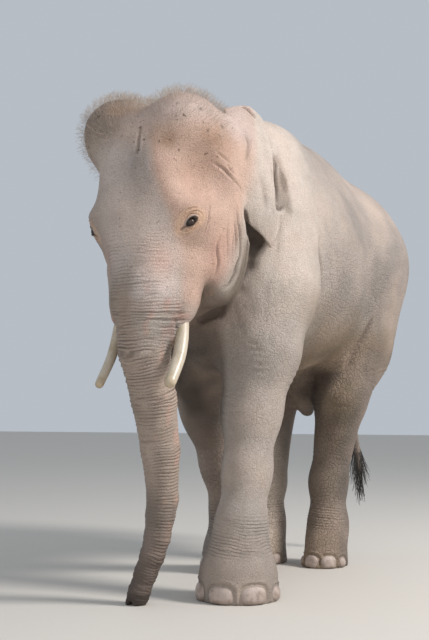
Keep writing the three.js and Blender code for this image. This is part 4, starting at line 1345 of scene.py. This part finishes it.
def make_tusk(side):
    rows, columns = 90, 36
    t = np.linspace(0, 1, rows + 1)
    line = smooth_line(TUSKS[side], t)
    ahead = np.gradient(line, axis=0)
    ahead /= np.linalg.norm(ahead, axis=1)[:, None]
    across = np.cross(ahead, (1.0, 0, 0))
    across /= np.linalg.norm(across, axis=1)[:, None]
    third = np.cross(ahead, across)
    place = np.concatenate([[0], np.cumsum(np.linalg.norm(np.diff(line, axis=0), axis=1))])
    left = place[-1] - place
    root, end = TUSK_RADII[side]
    radius = root + (end - root) * place / place[-1]
    tip = np.clip(left / (1.2 * end), 0, 1)
    radius = radius * np.sqrt(np.clip(1 - (1 - tip) ** 2.3, 0.0, 1)) + 0.01
    b = np.linspace(0, 2 * np.pi, columns, endpoint=False)
    ring = across[:, None] * np.cos(b)[None, :, None] + third[:, None] * np.sin(b)[None, :, None]
    points = line[:, None] + ring * radius[:, None, None]
    points = points.reshape(-1, 3)
    points += ripple(points, (30, 30, 90), 301)[:, None] * 0.5 * ring.reshape(-1, 3)
    root_ring = list(range(columns))
    end_ring = [rows * columns + n for n in reversed(range(columns))]
    faces = tube_faces(rows, columns).tolist() + [root_ring, end_ring]
    piece = new_piece(f"ivory_{SIDE_NAMES[side]}", points, faces)
    number_on(piece, "along", np.repeat(place / place[-1], columns))
    number_on(piece, "around", np.tile(b, rows + 1))
    tidy_mesh(piece)
    return piece


def ivory_material():
    paint = Paint("ivory", Roughness=0.38, Coat_Weight=0.15, Coat_Roughness=0.2)
    along_it = paint.number("along")
    stain = paint.noise(16.0, 4.0, 0.6, (1, 1, 0.4))
    lines = paint.noise(120.0, 2.0, 0.5, (1, 1, 0.05))
    colour = paint.mix(stain.ramp(0.42, 0.75), "#c9bdab", "#a99a80")
    colour = paint.mix((lines - 0.5) * 0.7, colour, "#9f8a6c")
    colour = paint.mix((1 - along_it.ramp(0.3, 0.52)) * 0.55, colour, "#a98b66")
    colour = paint.mix(along_it.ramp(0.88, 1.0) * 0.5, colour, "#b79f7c")
    height = lines * 0.6 + stain * 0.5
    return paint.finish(Base_Color=colour, Normal=paint.bump(height, 0.0012))


NAIL_SETS = {
    "fore": dict(angles=(-98, -50, 0, 50, 98), ahead=0, wide=66, tall=54, deep=32, low=36),
    "hind": dict(angles=(-80, -17, 46, 102), ahead=52, wide=49, tall=46, deep=28, low=28),
}
NAIL_INSET = 15
NAIL_LOW = 4.5  # a nail's lower edge, above the floor
SIDE_NAIL = 70  # nails turned further than this many degrees are smaller


def leg_nails(which, side, pose, shapes):
    """Where each nail of a foot lies: its middle, the way it faces and its half sizes."""
    found = []
    kind = NAIL_SETS[which]
    legs = [*torso_shapes(), *shapes]
    for angle in kind["angles"]:
        a = math.radians(angle)
        way = np.array((side * math.sin(a), -math.cos(a), 0))
        start = np.array((side * pose["foot"][0], pose["foot"][1] - kind["ahead"], kind["low"]), float)
        p = start + way * 200
        for _ in range(60):
            p = p - way * float(field([(1, legs)], p[None])[0]) * 0.8
        small = 0.76 if abs(angle) > SIDE_NAIL else 1
        half = (kind["wide"] * small, kind["deep"], kind["tall"] * small)
        found.append((p - way * NAIL_INSET, way, half))
    return found


def all_nails():
    feet = (
        ("fore", "left", FORE_LEFT, foreleg_shapes), ("fore", "right", FORE_RIGHT, foreleg_shapes),
        ("hind", "left", HIND_LEFT, hindleg_shapes), ("hind", "right", HIND_RIGHT, hindleg_shapes),
    )
    out = []
    for which, name, pose, shapes in feet:
        for n, nail in enumerate(leg_nails(which, pose["side"], pose, shapes(**pose))):
            out.append((f"{which}nail_{name}_{n + 1}", *nail))
    return out


def make_nail(name, centre, way, half):
    """A broad domed plate with a square top edge, cut level above the floor."""
    rows, columns = 18, 36
    a, b = ball_grid(rows, columns)
    u, w, h = np.sin(a) * np.cos(b), np.sin(a) * np.sin(b), np.cos(a)
    # a squarish outline in the plate's own plane
    flat = (np.abs(u) ** NAIL_SQUARE + np.abs(h) ** NAIL_SQUARE) ** (1 / NAIL_SQUARE)
    wider = np.where(flat > 1e-6, np.hypot(u, h) / np.maximum(flat, 1e-6), 1)
    wider = (1 + (wider - 1) * 0.8) * 0.97
    side = np.array((-way[1], way[0], 0))
    points = centre + side * (u * wider * half[0])[:, None] + way * (w * half[1])[:, None]
    points[:, 2] += h * wider * half[2]
    points[:, 2] = np.maximum(points[:, 2], NAIL_LOW)
    points += way * (ripple(points, (16, 16, 60), 311) * 0.9)[:, None]
    piece = new_piece(name.replace("nail", "toenail"), points, tube_faces(rows, columns).tolist())
    number_on(piece, "rise", (points[:, 2] - points[:, 2].min()) / np.ptp(points[:, 2]))
    tidy_mesh(piece)
    return piece


def nail_material():
    paint = Paint("nail", Roughness=0.55)
    rise = paint.number("rise")
    stain = paint.noise(26.0, 4.0, 0.6)
    ridges = paint.noise(90.0, 2.0, 0.5, (1, 1, 0.12))
    colour = paint.mix(stain.ramp(0.4, 0.72), "#b7a79d", "#8f7c72")
    colour = paint.mix((1 - rise.ramp(0.0, 0.32)) * 0.6, colour, "#75665a")
    colour = paint.mix((ridges - 0.5) * 0.9, colour, "#7d6c62")
    return paint.finish(Base_Color=colour, Normal=paint.bump(ridges * 0.7 + stain * 0.4, 0.0016))


# ---- hair: bristles on the crown and jaw, and the tail's brush ------------------------
def bristle_tree(name, material):
    """Grows bent, tapering bristles from a surface, thick where its attribute named hair is high."""
    tree = bpy.data.node_groups.new(name, "GeometryNodeTree")
    tree.interface.new_socket("Surface", in_out="INPUT", socket_type="NodeSocketGeometry")
    for label in ("Number", "Length", "Thickness", "Bend", "Stray"):
        tree.interface.new_socket(label, in_out="INPUT", socket_type="NodeSocketFloat")
    tree.interface.new_socket("Seed", in_out="INPUT", socket_type="NodeSocketInt")
    tree.interface.new_socket("Bristles", in_out="OUTPUT", socket_type="NodeSocketGeometry")

    def node(kind, settings=None, sockets=None):
        made = tree.nodes.new(kind)
        for key, value in (settings or {}).items():
            setattr(made, key, value)
        for key, value in (sockets or {}).items():
            if isinstance(value, bpy.types.NodeSocket):
                tree.links.new(value, made.inputs[key])
            else:
                made.inputs[key].default_value = value
        return made

    def named(label, kind):
        return node("GeometryNodeInputNamedAttribute", {"data_type": kind}, {"Name": label}).outputs[0]

    def times(a, b):
        return node("ShaderNodeMath", {"operation": "MULTIPLY"}, {0: a, 1: b}).outputs[0]

    def vector(operation, sockets):
        return node("ShaderNodeVectorMath", {"operation": operation}, sockets).outputs[0]

    def combined(**parts):
        return node("ShaderNodeCombineXYZ", None, parts).outputs[0]

    def between(low, high, seed):
        settings = {"data_type": "FLOAT"}
        return node("FunctionNodeRandomValue", settings, {2: low, 3: high, "Seed": seed}).outputs[1]

    def kept(geometry, label, kind, value):
        settings = {"data_type": kind, "domain": "INSTANCE"}
        sockets = {"Geometry": geometry, "Name": label, "Value": value}
        return node("GeometryNodeStoreNamedAttribute", settings, sockets).outputs[0]

    given = node("NodeGroupInput").outputs
    # where the bristles stand
    scatter = node(
        "GeometryNodeDistributePointsOnFaces",
        {"distribute_method": "RANDOM"},
        {
            "Mesh": given["Surface"],
            "Density": times(named("hair", "FLOAT"), given["Number"]),
            "Seed": given["Seed"],
        },
    )
    # one bristle, standing up and bent to its end
    strand = node(
        "GeometryNodeCurveQuadraticBezier",
        None,
        {
            "Resolution": 4,
            "Start": (0.0, 0.0, -0.003),
            "Middle": combined(Z=times(given["Length"], 0.55)),
            "End": combined(X=times(given["Bend"], given["Length"]), Z=given["Length"]),
        },
    )
    way = node("GeometryNodeSplineParameter").outputs["Factor"]
    taper = node("ShaderNodeMapRange", None, {"Value": way, "To Min": 1.0, "To Max": 0.12}).outputs[0]
    tapered = node("GeometryNodeSetCurveRadius", None, {"Curve": strand.outputs[0], "Radius": taper})
    sockets = {"Resolution": 3, "Radius": given["Thickness"]}
    ring = node("GeometryNodeCurvePrimitiveCircle", None, sockets)
    shape = node(
        "GeometryNodeCurveToMesh",
        None,
        {"Curve": tapered.outputs[0], "Profile Curve": ring.outputs["Curve"], "Fill Caps": True},
    )
    # which way each one leans, how it is turned and how long it is
    loose = node(
        "FunctionNodeRandomValue",
        {"data_type": "FLOAT_VECTOR"},
        {0: (-1.0, -1.0, -1.0), 1: (1.0, 1.0, 1.0), "Seed": given["Seed"]},
    )
    astray = vector("SCALE", {0: loose.outputs[0], "Scale": given["Stray"]})
    lean = vector("ADD", {0: named("lie", "FLOAT_VECTOR"), 1: astray})
    aim = node("FunctionNodeAlignRotationToVector", {"axis": "Z"}, {"Vector": lean})
    turned = node(
        "FunctionNodeRotateRotation",
        {"rotation_space": "LOCAL"},
        {0: aim.outputs[0], 1: combined(Z=between(0.0, 6.283, 5))},
    )
    placed = node(
        "GeometryNodeInstanceOnPoints",
        None,
        {
            "Points": scatter.outputs["Points"],
            "Instance": shape.outputs[0],
            "Rotation": turned.outputs[0],
            "Scale": times(between(0.55, 1.15, 9), named("long", "FLOAT")),
        },
    )
    rooted = kept(placed.outputs[0], "root", "FLOAT_VECTOR", named("unwrap", "FLOAT_VECTOR"))
    tinted = kept(rooted, "tint", "FLOAT", between(0.0, 1.0, 13))
    real = node("GeometryNodeRealizeInstances", None, {"Geometry": tinted})
    dressed = node("GeometryNodeSetMaterial", None, {"Geometry": real.outputs[0], "Material": material})
    node("NodeGroupOutput", None, {"Bristles": dressed.outputs[0]})
    return tree


BARE = 0.01  # skin with less hair than this grows none


def grow(name, skin, hair, lie, long, unwrap, material, **sizes):
    """Bristles as one mesh, with sizes in metres. Hair, lie, long and unwrap give each point's share
    of them, their way, how long they are and their root's place on the map."""
    mesh = bmesh.new()
    mesh.from_mesh(skin.data)
    kept = hair >= BARE
    bare = [v for v, stays in zip(mesh.verts, kept) if not stays]
    bmesh.ops.delete(mesh, geom=bare, context="VERTS")
    patch_mesh = bpy.data.meshes.new(name)
    mesh.to_mesh(patch_mesh)
    mesh.free()
    patch = show(name, patch_mesh)
    for label, values in (("hair", hair), ("long", long)):
        number_on(patch, label, values[kept])
    for label, values in (("lie", lie), ("unwrap", unwrap)):
        layer = patch_mesh.attributes.new(label, "FLOAT_VECTOR", "POINT")
        layer.data.foreach_set("vector", values[kept].astype(np.float32).ravel())
    modifier = patch.modifiers.new("bristles", "NODES")
    modifier.node_group = bristle_tree(name, material)
    for item in modifier.node_group.interface.items_tree:
        if item.name in sizes:
            modifier[item.identifier] = sizes[item.name]
    keep_result(patch)
    bpy.data.node_groups.remove(bpy.data.node_groups[name])
    patch.data.materials.clear()
    patch.data.materials.append(material)
    count = len(patch.data.vertices)
    root = np.empty(count * 3, np.float32)
    patch.data.attributes["root"].data.foreach_get("vector", root)
    root = root.reshape(-1, 3)[:, :2]
    corners = np.empty(len(patch.data.loops), np.int64)
    patch.data.loops.foreach_get("vertex_index", corners)
    spread = np.stack([np.arange(count) % 3, np.arange(count) // 3 % 5], 1) * (0.0012, 0.0006)
    uv = patch.data.uv_layers.new(name="OFBake")
    uv.data.foreach_set("uv", (root + spread)[corners].astype(np.float32).ravel())
    return patch


def make_hair(skin):
    points, normals = points_of(skin)
    x, y, z = points.T
    length = np.ones(len(points))
    # the crown, thickest over the domes and thin down the temples
    off = points - np.array((0, -300, 2020))
    polar = np.arctan2(np.hypot(off[:, 0], off[:, 1]), off[:, 2]) / np.pi
    turn = np.arctan2(off[:, 1], off[:, 0])
    dome = np.stack([0.5 + 0.5 * polar * np.cos(turn), 0.5 + 0.5 * polar * np.sin(turn), polar * 0], 1)
    head = (y < 60) & (z > 1900) & (np.abs(x) < 262 + 0.5 * np.maximum(-150 - y, 0))
    crown = head * step(z + ripple(points, 70, 401) * 25, 2190, 2330)
    crown = crown * (0.45 + 0.55 * step(ripple(points, 90, 402), -0.4, 0.4))
    crown = np.maximum(crown, 0.9 * head * spot(points, (-92, -557, 2295), (160, 150, 60)))
    crown = np.maximum(crown, 0.3 * head * step(z, 1990, 2150) * step(y, -150, -260))
    ruffled = np.stack([ripple(points, 60, n) for n in (403, 404, 405)], 1)
    lie = normals + np.array((0, -0.1, 0.35)) + 0.25 * ruffled
    paint = Paint("bristle", Roughness=0.7)
    shade = paint.mix(paint.number("tint"), "#d6c8b9", "#a08a76")
    brown = paint.finish(Base_Color=shade)
    sizes = dict(Number=20000.0, Length=0.042, Thickness=0.00032, Bend=0.45, Stray=0.55, Seed=3)
    made = [grow("crown_bristles", skin, crown, lie, length, dome, brown, **sizes)]
    # the chin has a few
    chin = (y > -420) & (y < -60) & (z < 1440) & (z > 1200) & (normals[:, 2] < 0.2)
    chin = chin * step(y, -120, -220) * (np.abs(x) < 140)
    lie = normals + np.array((0, -0.2, -0.6))
    sizes = dict(Number=1400.0, Length=0.05, Thickness=0.0006, Bend=0.3, Stray=0.4, Seed=4)
    made.append(grow("chin_bristles", skin, chin, lie, length, dome, brown, **sizes))
    # the tail's brush: two rows of coarse hair that run together below the tail's end
    place, _, nearest, whole = along(points, TAIL_LINE)
    out = points - nearest
    out /= np.maximum(np.linalg.norm(out, axis=1), 1e-6)[:, None]
    rows = np.abs(out @ np.array((0.88, 0.47, 0.0))) ** 2
    brush = (y > 1900) * (z < 800) * step(z, 690, 620) * (0.15 + rows)
    target = np.array((130, 2010, 300.0))
    down = target - points
    reach = np.linalg.norm(down, axis=1)
    down = down / reach[:, None] + out * (0.03 + 0.3 * step(z, 520, 640))[:, None]
    stem = np.stack([np.arctan2(out[:, 1], out[:, 0]) / 6.3 + 0.5, place / whole, place * 0], 1)
    paint = Paint("tail hair", Roughness=0.6)
    shade = paint.mix(paint.number("tint"), "#504e49", "#2b2825")
    dark = paint.finish(Base_Color=shade)
    length = 0.82 + 0.2 * step(z, 620, 520)
    sizes = dict(Number=24000.0, Length=0.19, Thickness=0.0011, Bend=0.1, Stray=0.05, Seed=6)
    made.append(grow("tail_brush", skin, brush, down, length, stem, dark, **sizes))
    for piece in made:
        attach(piece, "root")
    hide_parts("tail_tuft")


# ---- light, floor and camera --------------------------------------------------------
def look(holder, place, way):
    """Stands a lamp or a camera at a place, facing a way."""
    holder.location = place
    holder.rotation_mode = "QUATERNION"
    holder.rotation_quaternion = way.to_track_quat("-Z", "Y")


def area_light(name, place, target, size, power, colour):
    lamp = bpy.data.lights.new(name, "AREA")
    lamp.shape, lamp.size, lamp.energy, lamp.color = "DISK", size, power, colour
    look(show(name, lamp), place, Vector(target) - Vector(place))


FLOOR_HALF = 40.0


def set_stage():
    scene = bpy.context.scene
    world = bpy.data.worlds.new("studio")
    world.use_nodes = True
    sky = world.node_tree.nodes["Background"]
    sky.inputs["Color"].default_value = (0.84, 0.91, 1.0, 1)
    sky.inputs["Strength"].default_value = 0.56
    scene.world = world
    scene.view_settings.view_transform = "Standard"
    area_light("key", (7.0, 0.6, 6.8), (0, -0.3, 1.3), 2.4, 810, (1.0, 0.96, 0.93))
    area_light("fill", (2.5, -8.5, 2.6), (0, 0, 1.2), 4.0, 90, (1.0, 0.97, 0.94))
    mesh = bpy.data.meshes.new("floor")
    corners = [(x * FLOOR_HALF, y * FLOOR_HALF, 0) for x, y in ((-1, -1), (1, -1), (1, 1), (-1, 1))]
    mesh.from_pydata(corners, [], [(0, 1, 2, 3)])
    floor = show("floor", mesh)
    paint = Paint("pale floor", Roughness=0.85, Base_Color=(*linear("#cfcac2"), 1))
    mesh.materials.append(paint.material)
    camera = bpy.data.cameras.new("camera")
    camera.lens, camera.sensor_width = 60.08, 36.0
    turn, tilt = math.radians(28), math.radians(5.08)
    level = math.cos(tilt)
    forward = Vector((-math.sin(turn) * level, math.cos(turn) * level, math.sin(tilt)))
    scene.camera = show("camera", camera)
    look(scene.camera, (2.591, PART_Y - 4.645, 0.875), forward)


# ---- putting it together --------------------------------------------------------------
def main():
    skin = make_skin()
    dress_skin(skin)
    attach(skin, "root")
    kept = ("eye_", "tusk_", "tail_tuft")  # with the nails, the nodes that have pieces of their own
    flesh = [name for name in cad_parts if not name.startswith(kept) and "nail" not in name]
    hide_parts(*flesh)
    eye_paint, ivory, nail_paint = eye_material(), ivory_material(), nail_material()
    for side, name in SIDE_NAMES.items():
        for piece, paint, node, slot in (
            (make_eye(side), eye_paint, f"eye_{name}", "eye"),
            (make_tusk(side), ivory, f"tusk_{name}", "ivory"),
        ):
            piece.data.materials.append(paint)
            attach(piece, "root")
            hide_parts(node)
    for name, centre, way, half in all_nails():
        piece = make_nail(name, centre, way, half)
        piece.data.materials.append(nail_paint)
        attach(piece, "root")
        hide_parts(name)
    make_hair(skin)
    set_stage()


main()
